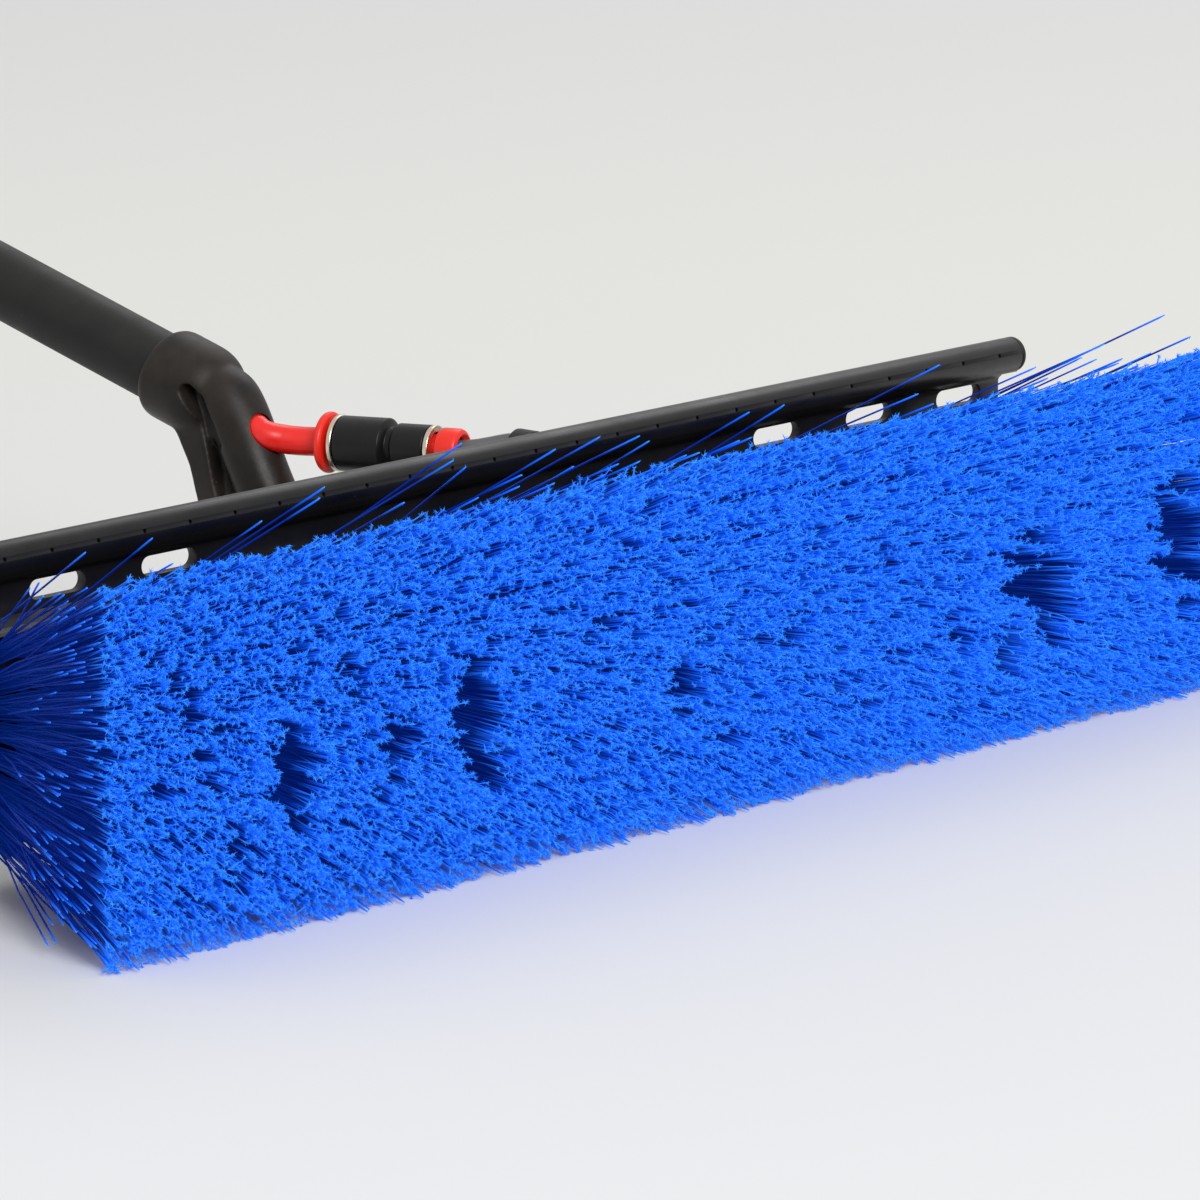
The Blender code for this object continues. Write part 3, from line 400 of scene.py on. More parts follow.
# %% Where the tips go
def parted_tips(x, z, hold):
    """The tips' x and z after each opening has pushed them out, and the largest push that each one took.

    The openings are ellipses that lean by TILT, with ragged rims. A tip at distance d from the middle, in half
    widths, is pushed outwards by depth (1 - d / PUSH_REACH) to the power PUSH_POWER, in half widths too. Hold is the
    share of the push that a tip's clump takes: a few clumps stay behind and stand in the opening.
    """
    moved = np.zeros_like(x)
    cos, sin = math.cos(TILT), math.sin(TILT)
    for ox, oz, wide, tall, depth in OPENINGS:
        near = (np.abs(x - ox) < 2 * wide) & (np.abs(z - oz) < 2 * max(tall, wide * 0.5))
        if not near.any():
            continue
        dx, dz = x[near] - ox, z[near] - oz
        across = (dx * cos + dz * sin) / wide
        up = (dz * cos - dx * sin) / tall
        about = np.arctan2(up, across)
        rim = 1 + 0.26 * np.sin(3 * about + 900 * ox) + 0.22 * np.sin(8 * about + 700 * oz)
        distance = np.abs(np.hypot(across, up) * rim) + 1e-6
        push = depth * np.clip(1 - distance / PUSH_REACH, 0, 1) ** PUSH_POWER * hold[near]
        out_x, out_z = across / distance * push * wide, up / distance * push * tall
        x[near] += out_x * cos - out_z * sin
        z[near] += out_x * sin + out_z * cos
        moved[near] = np.maximum(moved[near], push)
    return x, z, moved


# %% One row of filaments
SIDES = 3
LAST_RING = 0.980
RINGS = np.array([0.0, 0.5, LAST_RING, 1.0])
RING_SIZES = np.array([1.0, 1.0, 1.0, 0.6])
HAIR_RADIUS, SPLITS = 0.00021, 16
CLUMPS, STUBBORN, HELD = 3, 0.16, 0.35
TIP_SINK, PARTED_SINK, LOWEST_TIP, FLOOR_GAP = 0.0012, 0.0035, 0.0006, 0.0002


def unit(vectors):
    """Each vector made one long."""
    return vectors / np.linalg.norm(vectors, axis=1, keepdims=True)


def beside(run, rng):
    """Two directions square to each run and to each other, turned about it at random."""
    side = unit(np.cross(run, rng.normal(size=run.shape)))
    return side, unit(np.cross(run, side))


def filaments(roots, tips, bend, radius, shade, splits, rng, spread=1.3, length=0.00115, kink=0.0008):
    """Tubes of three sides from each root to its tip, and short hairs that stand out of its last millimetre.

    A filament's middle line is root + (tip - root) t + bend 4 t (1 - t), so bend is its sideways offset halfway,
    and its last 2 mm turn aside by a random kink, as crimped nylon does.
    Each hair of a split tip is a spike of three faces whose foot is inside the tube. It points along the filament
    plus a random direction of its own, so that the carpet's surface is a fuzz instead of a lawn.
    """
    count, rings = len(roots), len(RINGS)
    t = RINGS[None, :, None]
    middle = roots[:, None] + (tips - roots)[:, None] * t + bend[:, None] * 4 * t * (1 - t)
    middle[:, -1] += rng.normal(size=(count, 3)) * kink
    tips = middle[:, -1]
    run = unit(tips - middle[:, -2])
    side, other = beside(run, rng)
    turn = np.linspace(0, 2 * np.pi, SIDES, endpoint=False)
    circle = side[:, None] * np.cos(turn)[None, :, None] + other[:, None] * np.sin(turn)[None, :, None]
    tubes = middle[:, :, None] + circle[:, None] * RING_SIZES[None, :, None, None] * radius[:, None, None, None]
    block = rings * SIDES
    first = np.arange(count)[:, None, None] * block
    walls = (first + grid_faces(rings, SIDES)).reshape(-1, 4)
    caps = (first + np.array([[0, 2, 1], [block - 3, block - 2, block - 1]])).reshape(-1, 3)
    tube_uv = np.empty((count, rings, SIDES, 2))
    tube_uv[..., 0], tube_uv[..., 1] = shade[:, None, None], RINGS[:, None]

    total = count * splits
    run, foot_size = np.repeat(run, splits, axis=0), np.repeat(radius, splits)[:, None] * 0.60
    base = np.repeat(tips, splits, axis=0) - run * rng.uniform(0, 0.0012, (total, 1))
    aim = run * 0.35 + rng.normal(size=(total, 3)) * spread
    aim *= length * rng.uniform(0.55, 1.25, (total, 1)) / np.linalg.norm(aim, axis=1, keepdims=True)
    side, other = beside(aim, rng)
    foot = [base + foot_size * (side * math.cos(q) + other * math.sin(q)) for q in turn]
    spikes = np.stack([*foot, base + aim], axis=1)
    first = count * block + np.arange(total)[:, None, None] * (SIDES + 1)
    cones = (first + np.array([[0, 1, 3], [1, 2, 3], [2, 0, 3]])).reshape(-1, 3)
    spike_uv = np.empty((total, SIDES + 1, 2))
    spike_uv[..., 0] = np.clip(np.repeat(shade, splits) + rng.uniform(-0.35, 0.55, total), 0, 1)[:, None]
    spike_uv[..., 1] = *[LAST_RING] * SIDES, 1.0
    points = np.concatenate([tubes.reshape(-1, 3), spikes.reshape(-1, 3)])
    uv = np.concatenate([tube_uv.reshape(-1, 2), spike_uv.reshape(-1, 2)])
    return points, [walls, np.concatenate([caps, cones])], uv


def row_of_filaments(number):
    """All filaments of one row: their roots in the holes, and their tips spread over the row's band of the face.

    A tuft's cell of the face has three by three clumps. A stubborn few of them give way to the openings by about a
    third only. Tips end a little behind the plane, at random, and deeper where an opening has pushed them aside.
    """
    rng = np.random.default_rng(900 + number)
    count = TUFTS * HAIRS_IN_TUFT
    tuft = np.repeat(np.arange(TUFTS), HAIRS_IN_TUFT)
    spot = np.sqrt(rng.uniform(0, 1, count))
    angle = rng.uniform(0, 2 * np.pi, count)
    root_x = (tuft + 0.5) / TUFTS * 2 * HALF_ROOT - HALF_ROOT + HOLE_WIDE * spot * np.cos(angle)
    root_z = ROOT_LOW + (number + 0.5) * ROOT_PITCH + HOLE_TALL * spot * np.sin(angle)
    roots = np.stack([root_x, np.full(count, ROOT_PLANE), root_z], axis=1)
    wide, tall = 2 * HALF_TIP / TUFTS, TIP_TOP / ROWS
    across = rng.uniform(-0.5, 0.5, count) * wide * 1.04
    up = rng.uniform(-0.5, 0.5, count) * tall * 1.04
    pull = 1 - 0.10 * (np.abs(across / wide) ** 3 + np.abs(up / tall) ** 3) * 4
    tip_x = (tuft + 0.5) * wide - HALF_TIP + across * pull
    tip_z = (number + 0.5) * tall + up * pull
    places = (np.clip((share + 0.5) * CLUMPS, 0, CLUMPS - 0.01).astype(int) for share in (across / wide, up / tall))
    clump = np.ravel_multi_index((tuft, *places), (TUFTS, CLUMPS, CLUMPS))
    hold = np.where(rng.random(TUFTS * CLUMPS**2) < STUBBORN, HELD, 1.0)[clump]
    tip_x, tip_z, moved = parted_tips(tip_x, tip_z, hold)
    corner = np.clip(np.abs(across / wide) + np.abs(up / tall) - 0.60, 0, 1) * 0.0020
    tip_y = TIP_PLANE + TIP_SINK + rng.uniform(0, TIP_SINK, count) + corner + moved**2 * PARTED_SINK
    tip_z = np.where(tip_z < LOWEST_TIP, LOWEST_TIP + rng.uniform(0, 0.0010, count), tip_z)
    tips = np.stack([tip_x, tip_y, tip_z], axis=1)
    bend = rng.normal(size=(count, 3)) * np.array([0.0019, 0.0002, 0.0012])
    bend[:, 2] -= 0.0020 * (tip_z - TIP_TOP / 2) / (TIP_TOP / 2)
    radius = HAIR_RADIUS * rng.uniform(0.85, 1.15, count)
    shade = np.clip(rng.beta(2, 3, count) + 0.1 * rng.normal(size=count), 0, 1)
    return filaments(roots, tips, bend, radius, shade, SPLITS, rng)


face_count = 0
for number in range(ROWS):
    points, faces, uv = row_of_filaments(number)
    points[:, 2] = np.maximum(points[:, 2], FLOOR_GAP)
    mesh = mesh_of(f"filaments_row_{number + 1}", points, faces)
    row = piece_of(mesh.name, mesh, BRISTLE_BLUE, uv=uv)
    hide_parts(f"bristle_row_{number + 1}")
    face_count += 2 * len(faces[0]) + len(faces[1])
print("filaments:", ROWS * TUFTS * HAIRS_IN_TUFT, "with", face_count, "triangles")

# %% [markdown]
# A brush that has worked has stray filaments: some stand up over the top edge, long and nearly straight, and at
# both ends the outer tufts splay past the carpet. The 18 that the photograph shows best are given by the x and z of
# their tips; the rest are drawn at random in three sets: a fringe at the top, splayed ends, and some at the floor.

# %% Strays
STRAY_RADIUS = 0.00030
NARROWING = 0.87  # a root's x over its tip's x, as in the tufts
FRINGE, SPLAYED, LOW_ONES = 26, 260, 60
STRAY_TIPS = np.array([
    (-0.1583, 0.1085), (-0.1600, 0.1060), (-0.1089, 0.1125), (-0.1120, 0.1085), (-0.0740, 0.1061), (-0.0573, 0.1069),
    (-0.0419, 0.1051), (-0.0875, 0.0985), (-0.0744, 0.0975), (-0.0419, 0.0985), (-0.0500, 0.0990), (-0.0185, 0.0975),
    (-0.0028, 0.0985), (0.0788, 0.1076), (0.0700, 0.1010), (0.1765, 0.1087), (0.1500, 0.1040), (0.1200, 0.1015),
])
rng = np.random.default_rng(77)


def stray_set(tip_x, tip_y, tip_z, root_x, root_row, sag=0.0):
    """Roots, tips and bends of some strays. A root's height is given in rows of tufts from the lowest."""
    count = len(tip_x)
    root_z = ROOT_LOW + root_row * ROOT_PITCH
    roots = np.stack([root_x, np.full(count, ROOT_PLANE), np.broadcast_to(root_z, count)], axis=1)
    tips = np.stack([tip_x, np.broadcast_to(tip_y, count), np.broadcast_to(tip_z, count)], axis=1)
    bend = rng.normal(size=(count, 3)) * 0.0006
    bend[:, 2] -= sag
    return roots, tips, bend


top_x, top_z = STRAY_TIPS.T
top_root_x = top_x * NARROWING - rng.uniform(0.018, 0.036, len(top_x))
top = stray_set(top_x, TIP_PLANE + 0.002, top_z, top_root_x, 7.6, sag=0.0012)
fringe_x = rng.uniform(-HALF_TIP, HALF_TIP, FRINGE)
fringe_y = TIP_PLANE + rng.uniform(0.001, 0.022, FRINGE)
fringe_z = 0.0955 + rng.gamma(1.6, 0.0022, FRINGE)
fringe_root_x = fringe_x * NARROWING - rng.uniform(0, 0.03, FRINGE)
fringe = stray_set(fringe_x, fringe_y, fringe_z, fringe_root_x, 7.5, sag=0.0010)
side = np.where(np.arange(SPLAYED) % 2 == 0, -1.0, 1.0)
height = rng.uniform(0.002, 0.094, SPLAYED)
inward = rng.uniform(0, 0.030, SPLAYED)
end_x = side * (HALF_TIP - 0.004 - inward * 0.2 + rng.gamma(1.5, 0.0022, SPLAYED))
end_root_x = side * (HALF_ROOT - rng.uniform(0.0005, 0.008, SPLAYED))
ends = stray_set(end_x, TIP_PLANE + 0.002 + inward, height, end_root_x, height / TIP_TOP * ROWS)
low_x = rng.uniform(-HALF_TIP, HALF_TIP, LOW_ONES)
low = stray_set(low_x, TIP_PLANE - rng.uniform(0, 0.003, LOW_ONES), 0.0008, low_x * NARROWING, 0.3)
roots, tips, bend = (np.concatenate(parts) for parts in zip(top, fringe, ends, low))
radius, shade = np.full(len(roots), STRAY_RADIUS), rng.uniform(0, 0.25, len(roots))
points, faces, uv = filaments(roots, tips, bend, radius, shade, 1, rng, spread=0.25, length=0.0007, kink=0)
points[:, 2] = np.maximum(points[:, 2], FLOOR_GAP)
piece_of("stray_filaments", mesh_of("stray_filaments", points, faces), BRISTLE_BLUE, uv=uv)
print("stray filaments:", len(roots))

# %% [markdown]
# ## The hose
# The red polyurethane hose comes from the pole, turns a little inside the neck, leaves it through a hole in its
# front and ends in the push-fit union. Only about 23 mm of it is seen. It is a free tube held at both ends, so it
# is drawn as one curve of its whole length, from the pole's end plug to its seat in the union.

# %% Hose route, with the same points as the CAD model
NECK_Z = 0.041
OUTLET = Vector((0.0032, 0.0840 + BAR_Y, 0.0356 + NECK_Z))
UNION_YAW, UNION_RISE = math.radians(15.6), math.radians(1.5)
UNION_AXIS = Vector((
    math.sin(UNION_YAW) * math.cos(UNION_RISE), -math.cos(UNION_YAW) * math.cos(UNION_RISE), math.sin(UNION_RISE),
))
POLE_ORIGIN = Vector((0, 0.1045 + BAR_Y, 0.0473 + NECK_Z))
POLE_RISE = math.radians(15.5)
POLE_AXIS = Vector((0, math.cos(POLE_RISE), math.sin(POLE_RISE)))
HOSE_BEND = (
    (0.0058, 0.0713, 0.0360), (0.0030, 0.0758, 0.0364), (-0.0002, 0.0806, 0.0377), (-0.0006, 0.0885, 0.0415),
)
HOSE_RADIUS = 0.004


def through_points(points, steps):
    """Catmull-Rom: each stretch is a cubic whose slope at a point is half the way between its neighbours."""
    p = np.array(points, float)
    p = np.vstack([2 * p[0] - p[1], p, 2 * p[-1] - p[-2]])
    t = np.linspace(0, 1, steps, endpoint=False)[:, None]
    runs = [
        0.5 * (2 * b + (c - a) * t + (2 * a - 5 * b + 4 * c - d) * t**2 + (3 * b - a - 3 * c + d) * t**3)
        for a, b, c, d in zip(p, p[1:], p[2:], p[3:])
    ]
    return np.vstack([*runs, p[-2:-1]])


def curve_tube(name, route, radius, finish):
    curve = bpy.data.curves.new(name, "CURVE")
    curve.dimensions = "3D"
    curve.bevel_depth = radius
    curve.bevel_resolution = 8
    curve.use_fill_caps = True
    curve.twist_mode = "MINIMUM"
    spline = curve.splines.new("POLY")
    spline.points.add(len(route) - 1)
    spline.points.foreach_set("co", np.column_stack([route, np.ones(len(route))]).reshape(-1))
    spline.use_smooth = True
    curve.materials.append(finish)
    piece = placed(name, curve)
    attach(piece, "brush")
    return piece


bend_points = [Vector((x, y + BAR_Y, rise + NECK_Z)) for x, y, rise in HOSE_BEND]
hose_points = [OUTLET + UNION_AXIS * x for x in (0.036, 0.027, 0.018)]
hose_points += bend_points + [POLE_ORIGIN + POLE_AXIS * x for x in (0.018, 0.045, 0.11, 0.18, 0.2387)]
route = through_points(hose_points, 10)
hose = curve_tube("supply_hose", route, HOSE_RADIUS, HOSE_RED)
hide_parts("hose")

# %% [markdown]
# ## Round pieces
# A turned CAD node is a prism of a few dozen sides. Its outline is read back from its own mesh, as (along, radius)
# pairs, its corners get a small fillet, and it is turned again with 96 sides. So none of its sizes is written twice.

# %% Outlines of the turned nodes
def along_axis(axis):
    """The rotation whose third column is the axis."""
    return np.array(Vector(axis).to_track_quat("Z", "Y").to_matrix())


def outline_of(name, origin, axis):
    """The outline of a turned CAD node as an ordered loop of (along, radius).

    Each corner of the outline is a ring of vertices, known by its rounded place. Two corners are neighbours if an
    edge joins them without going around the axis. Where a flat end has no such edge, its two loose corners are
    joined to each other, or a lone one to a point on the axis. Then the loop is walked from its lowest corner.
    """
    mesh = nodes[name].data
    points = np.empty(3 * len(mesh.vertices))
    mesh.vertices.foreach_get("co", points)
    points = points.reshape(-1, 3) - np.array(origin)
    edges = np.empty(2 * len(mesh.edges), np.int32)
    mesh.edges.foreach_get("vertices", edges)
    local = points @ along_axis(axis)
    along, radius = local[:, 2], np.hypot(local[:, 0], local[:, 1])
    angle = np.arctan2(local[:, 1], local[:, 0])
    keys = np.round(np.column_stack([along, radius]) * 1e5).astype(int)
    first, second = edges.reshape(-1, 2).T
    turn = np.abs((angle[first] - angle[second] + np.pi) % (2 * np.pi) - np.pi)
    flat = (turn < 2e-3) | (np.minimum(radius[first], radius[second]) < 1e-5)
    links = {}
    for a, b in zip(map(tuple, keys[first[flat]]), map(tuple, keys[second[flat]])):
        if a != b:
            links.setdefault(a, set()).add(b)
            links.setdefault(b, set()).add(a)
    for key in set(map(tuple, keys)):
        links.setdefault(key, set())
    loose = sorted(key for key, near in links.items() for _ in range(2 - len(near)))
    while loose:
        a = loose.pop(0)
        if loose and loose[0][0] == a[0]:
            b = loose.pop(0)
        else:
            b = (a[0], 0)
            links.setdefault(b, set())
            others = [k for k in links if k[1] == 0 and k != b and len(links[k]) < 2]
            if others:
                links[b].add(others[0])
                links[others[0]].add(b)
        links[a].add(b)
        links[b].add(a)
    start = min(links)
    loop, last, here = [start], None, start
    while True:
        following = [k for k in links[here] if k != last and (k not in loop or (k == start and len(loop) > 2))]
        if not following or following[0] == start:
            break
        last, here = here, following[0]
        loop.append(here)
    return np.array(loop) / 1e5


def filleted(loop, radius, steps=4):
    """The loop with each corner that turns by more than 25 degrees replaced by an arc of a few points."""
    made = []
    for before, corner, after in zip(np.roll(loop, 1, axis=0), loop, np.roll(loop, -1, axis=0)):
        back, ahead = before - corner, after - corner
        lengths = np.linalg.norm(back), np.linalg.norm(ahead)
        back, ahead = back / lengths[0], ahead / lengths[1]
        bent = math.pi - math.acos(np.clip(back @ ahead, -1, 1))
        if bent < math.radians(25) or corner[1] < 1e-5:
            made.append(corner)
            continue
        reach = min(radius * math.tan(bent / 2), 0.42 * min(lengths))
        t = np.linspace(0, 1, steps)[:, None]
        start, end = corner + back * reach, corner + ahead * reach
        made.extend((1 - t) ** 2 * start + 2 * t * (1 - t) * corner + t**2 * end)
    return np.array(made)


POLE_SIZE = 2e-6


def turned(name, loop, origin, axis, sides=96):
    """A closed surface of revolution about the axis, from a loop of (along, radius). Its poles are single points."""
    x, y = loop.T
    if np.sum(x * np.roll(y, -1) - np.roll(x, -1) * y) > 0:
        loop = loop[::-1]
    angle = np.linspace(0, 2 * np.pi, sides, endpoint=False)
    radius = np.maximum(loop[:, 1], POLE_SIZE)[:, None]
    along = np.broadcast_to(loop[:, :1], (len(loop), sides))
    local = np.stack([radius * np.cos(angle), radius * np.sin(angle), along], -1)
    points = local.reshape(-1, 3) @ along_axis(axis).T + np.array(origin)
    mesh = mesh_of(name, points, grid_faces(len(loop) + 1, sides) % len(points))
    bm = bmesh.new()
    bm.from_mesh(mesh)
    bmesh.ops.remove_doubles(bm, verts=bm.verts, dist=3 * POLE_SIZE)
    bm.to_mesh(mesh)
    bm.free()
    return mesh


# %% Turn them again
def turn_again(name, origin, axis, finish, slot, body="brush", fillet=0.0004):
    loop = filleted(outline_of(name, origin, axis), fillet)
    piece = piece_of(f"{name}_turned", turned(f"{name}_turned", loop, origin, axis), finish, body, sharp=50)
    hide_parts(name)


UNION_AT = (OUTLET, UNION_AXIS)
POLE_AT = (POLE_ORIGIN, POLE_AXIS)
BAR_AT = (Vector((0, BAR_Y, BAR_Z)), Vector((1, 0, 0)))
turn_again("pole_tube", *POLE_AT, POLE_CHARCOAL, "charcoal")
turn_again("pole_end_plug", *POLE_AT, STOCK_BLACK, "charcoal", fillet=0.0003)
turn_again("union_body", *UNION_AT, UNION_BLACK, "satin_black")
turn_again("union_ring_left", *UNION_AT, RING_STEEL, "steel")
turn_again("union_ring_right", *UNION_AT, RING_STEEL, "steel", fillet=0.0003)
turn_again("collar_left", *UNION_AT, COLLAR_RED, "red", "left_collar", fillet=0.0006)
turn_again("collar_right", *UNION_AT, COLLAR_RED, "red", "right_collar", fillet=0.0005)
turn_again("bar_plug_left", *BAR_AT, STOCK_BLACK, "satin_black")
turn_again("bar_plug_right", *BAR_AT, STOCK_BLACK, "satin_black")

# %% [markdown]
# ## The neck
# The neck is one moulding, so its parts have to melt into each other. The swept leg, the domed socket, the web and
# the rib are closed meshes that overlap; a voxel remesh makes them one skin. A groove is cut into each side of the
# rib, deeper at its foot, and a second remesh with smoothing turns each inner corner into a fillet. The crisp holes
# are cut last: the pole's seat, the way of the cross pin and the hole that the hose comes out of.

# %% Solids from points
def prism(name, outline, low, high, turn=lambda p: p):
    """A closed prism over an outline of (y, z) points, from x = low to x = high."""
    outline = np.array(outline, float)
    count = len(outline)
    sides = [np.column_stack([np.full(count, x), outline]) for x in (low, high)]
    points = turn(np.concatenate(sides))
    walls = grid_faces(2, count)
    lid = np.arange(count)[None]
    return mesh_of(name, points, [walls, lid[:, ::-1], lid + count])


def drill(name, start, end, radius, origin, axis, sides=96):
    """A plain cylinder along the axis, from start to end."""
    return turned(name, np.array([(start, 0), (start, radius), (end, radius), (end, 0)]), origin, axis, sides)


def swept(name, route, radii, sides=48):
    """A tube of changing radius along a route that never runs along x, with flat ends."""
    run = unit(np.gradient(route, axis=0))
    up = unit(np.cross(run, (1.0, 0, 0)))
    side = np.cross(up, run)
    angle = np.linspace(0, 2 * np.pi, sides, endpoint=False)[None, :, None]
    circle = side[:, None] * np.cos(angle) + up[:, None] * np.sin(angle)
    points = (route[:, None] + circle * np.asarray(radii)[:, None, None]).reshape(-1, 3)
    lid = np.arange(sides)[None]
    return mesh_of(name, points, [grid_faces(len(route), sides), lid[:, ::-1], lid + len(points) - sides])


def joined(name, meshes):
    """One mesh that holds several, side by side and still overlapping."""
    bm = bmesh.new()
    for mesh in meshes:
        bm.from_mesh(mesh)
        bpy.data.meshes.remove(mesh)
    bmesh.ops.recalc_face_normals(bm, faces=bm.faces)
    whole = bpy.data.meshes.new(name)
    bm.to_mesh(whole)
    bm.free()
    return whole


def worked(mesh, *steps):
    """The mesh after a list of modifiers, each (type, settings). A Boolean's mesh cutter is used up."""
    helper = placed(f"{mesh.name}_work", mesh)
    used = [helper]
    for kind, settings in steps:
        modifier = helper.modifiers.new(kind.lower(), kind)
        for label, value in settings.items():
            if label == "object":
                value = placed(f"{mesh.name}_cutter", value)
                used.append(value)
            setattr(modifier, label, value)
    made = bpy.data.meshes.new_from_object(helper.evaluated_get(bpy.context.evaluated_depsgraph_get()))
    for thing in used:
        bpy.data.objects.remove(thing)
    return made


# %% Neck, with the CAD model's values except for its rib, which is 10 mm wide there
NECK_LEG = np.array([
    (0.0045, 0.0, 0.0095), (0.0250, 0.0, 0.0095), (0.0430, 0.0003, 0.0092), (0.0560, 0.0022, 0.0088),
    (0.0655, 0.0068, 0.0084), (0.0725, 0.0128, 0.0082), (0.0786, 0.0206, 0.0082), (0.0840, 0.0299, 0.0083),
    (0.0886, 0.0388, 0.0087), (0.0938, 0.0447, 0.0094), (0.0980, 0.0468, 0.0088),
])
WEB_OUTLINE = (
    (0.0800, 0.0080), (0.0930, 0.0100), (0.0980, 0.0300), (0.1010, 0.0450), (0.0950, 0.0450),
    (0.0886, 0.0388), (0.0840, 0.0299), (0.0786, 0.0206),
)
RIB_OUTLINE = (
    (0.0700, 0.0060), (0.0780, 0.0005), (0.0880, 0.0030), (0.0950, 0.0090), (0.0990, 0.0176),
    (0.1020, 0.0271), (0.1061, 0.0344), (0.1095, 0.0400), (0.1040, 0.0480), (0.1005, 0.0480),
    (0.0977, 0.0413), (0.0952, 0.0333), (0.0928, 0.0234), (0.0895, 0.0140), (0.0800, 0.0110),
)
GROOVE_OUTLINE = (
    (0.0850, 0.0150), (0.0905, 0.0140), (0.0928, 0.0234), (0.0952, 0.0333), (0.0977, 0.0413), (0.1010, 0.0485),
    (0.1006, 0.0508), (0.0985, 0.0508), (0.0955, 0.0478), (0.0922, 0.0420), (0.0892, 0.0341), (0.0871, 0.0260),
)
GROOVE_FOOT = [point for point in GROOVE_OUTLINE if point[1] < 0.035]
HALF_WEB, HALF_RIB = 0.0024, 0.0078
GROOVE_FLOOR, FOOT_FLOOR, GROOVE_REACH = 0.0054, 0.0034, 0.02
SOCKET_RADIUS, SOCKET_LENGTH, POLE_RADIUS, GAP = 0.0130, 0.0128, 0.0100, 0.0003
SEAT_FLOOR, PIN_RADIUS, PIN_BEHIND, HOSE_CLEARANCE = 0.0037, 0.0023, 0.020, 0.0005
BEYOND = 0.03  # how far the drills reach, past anything they cut


def behind_bar(outline):
    return np.array(outline) + (BAR_Y, NECK_Z)


def cut_by(cutter):
    return "BOOLEAN", {"object": cutter, "operation": "DIFFERENCE", "solver": "MANIFOLD"}


leg = through_points(NECK_LEG, 6)
route = np.column_stack([np.zeros(len(leg)), leg[:, 0] + BAR_Y, leg[:, 1] + NECK_Z])
dome = np.radians(np.arange(80, -1, -8))
lip = np.radians(np.arange(90, -1, -15))
lip_radius = SOCKET_RADIUS - POLE_RADIUS - 2 * GAP
socket = [(-SOCKET_RADIUS, 0)] + [(-SOCKET_RADIUS * math.sin(a), SOCKET_RADIUS * math.cos(a)) for a in dome]
socket += [
    (SOCKET_LENGTH - lip_radius + lip_radius * math.cos(a), SOCKET_RADIUS - lip_radius + lip_radius * math.sin(a))
    for a in lip
] + [(SOCKET_LENGTH, 0)]
skin = joined("neck_skin", [
    swept("leg", route, leg[:, 2]),
    turned("socket", np.array(socket), POLE_ORIGIN, POLE_AXIS),
    prism("web", behind_bar(WEB_OUTLINE), -HALF_WEB, HALF_WEB),
    prism("rib", behind_bar(RIB_OUTLINE), -HALF_RIB, HALF_RIB),
])
grooves = joined("grooves", [
    prism("groove", behind_bar(outline), *sorted((side * floor_at, side * GROOVE_REACH)))
    for side in (-1, 1) for outline, floor_at in ((GROOVE_OUTLINE, GROOVE_FLOOR), (GROOVE_FOOT, FOOT_FLOOR))
])
skin = worked(skin, ("REMESH", {"mode": "VOXEL", "voxel_size": 0.00055}))
skin = worked(skin, cut_by(grooves))
skin = worked(
    skin, ("REMESH", {"mode": "VOXEL", "voxel_size": 0.00060}), ("SMOOTH", {"factor": 0.5, "iterations": 14}),
)
pin = Vector((0, PIN_BEHIND + BAR_Y, NECK_Z))
exit_route = through_points([*bend_points, POLE_ORIGIN + POLE_AXIS * 0.018], 6)[:20]
cutters = joined("neck_cutters", [
    drill("seat", SEAT_FLOOR, BEYOND, POLE_RADIUS + GAP, POLE_ORIGIN, POLE_AXIS),
    drill("pin_way", -BEYOND, BEYOND, PIN_RADIUS, pin, (1, 0, 0), 32),
    swept("exit", exit_route, np.full(len(exit_route), HOSE_RADIUS + HOSE_CLEARANCE)),
])
skin = worked(skin, cut_by(cutters))
neck = piece_of("swan_neck", skin, NECK_CHARCOAL, sharp=42)
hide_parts("neck")
print("neck triangles:", sum(len(p.vertices) - 2 for p in skin.polygons))

# %% [markdown]
# ## The rinse bar
# The bar is an extrusion: a tube with a flat web under it, joined by fillets, with a small overhang of the tube at
# both ends. Slots go through the web and jets into the tube, and a bevel takes the edge off each of them.

# %% Extruded bar with slots and jets
bar_low, bar_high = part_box("rinse_bar")
WEB, TUBE, OVERHANG = 0.0030, 0.0050, 0.0068
SLOTS_AT_END, SLOT_LENGTH, SLOT_WIDTH, SLOT_PITCH, SLOT_FROM_END, SLOT_DROP = 3, 0.020, 0.0052, 0.040, 0.018, 0.0087
JET_PITCH, JET_RADIUS, JET_RISE, JET_MARGIN = 0.0165, 0.0006, math.radians(17), 0.0034
JET_START, JET_END = TUBE - 0.0016, TUBE + 0.0030
FOOT_CHAMFER, EDGE_BEVEL = 0.0004, 0.0003
UNDER_TUBE, UNDER_WEB = -0.0046, -0.04
PAST = 0.01  # half the depth of the slots' cutters, and how far the ends' cutters reach past the bar
half = bar_high.x
web_half = half - OVERHANG
around = np.radians(np.arange(-40, 221, 5))
profile = [(TUBE * math.cos(a), TUBE * math.sin(a)) for a in around]
web_foot = bar_low.z - BAR_Z + FOOT_CHAMFER
web_side = [
    (-0.0034, -0.0040), (-0.0026, -0.0049), (-0.0020, -0.0054), (-0.0016, -0.0060), (-WEB / 2, -0.0067),
    (-WEB / 2, web_foot), (-WEB / 2 + FOOT_CHAMFER, web_foot - FOOT_CHAMFER),
]
profile += web_side + [(-y, z) for y, z in reversed(web_side)]
bar = joined("bar", [prism("bar", np.array(profile) + (BAR_Y, BAR_Z), -half, half)])
straight, end_radius = (SLOT_LENGTH - SLOT_WIDTH) / 2, SLOT_WIDTH / 2
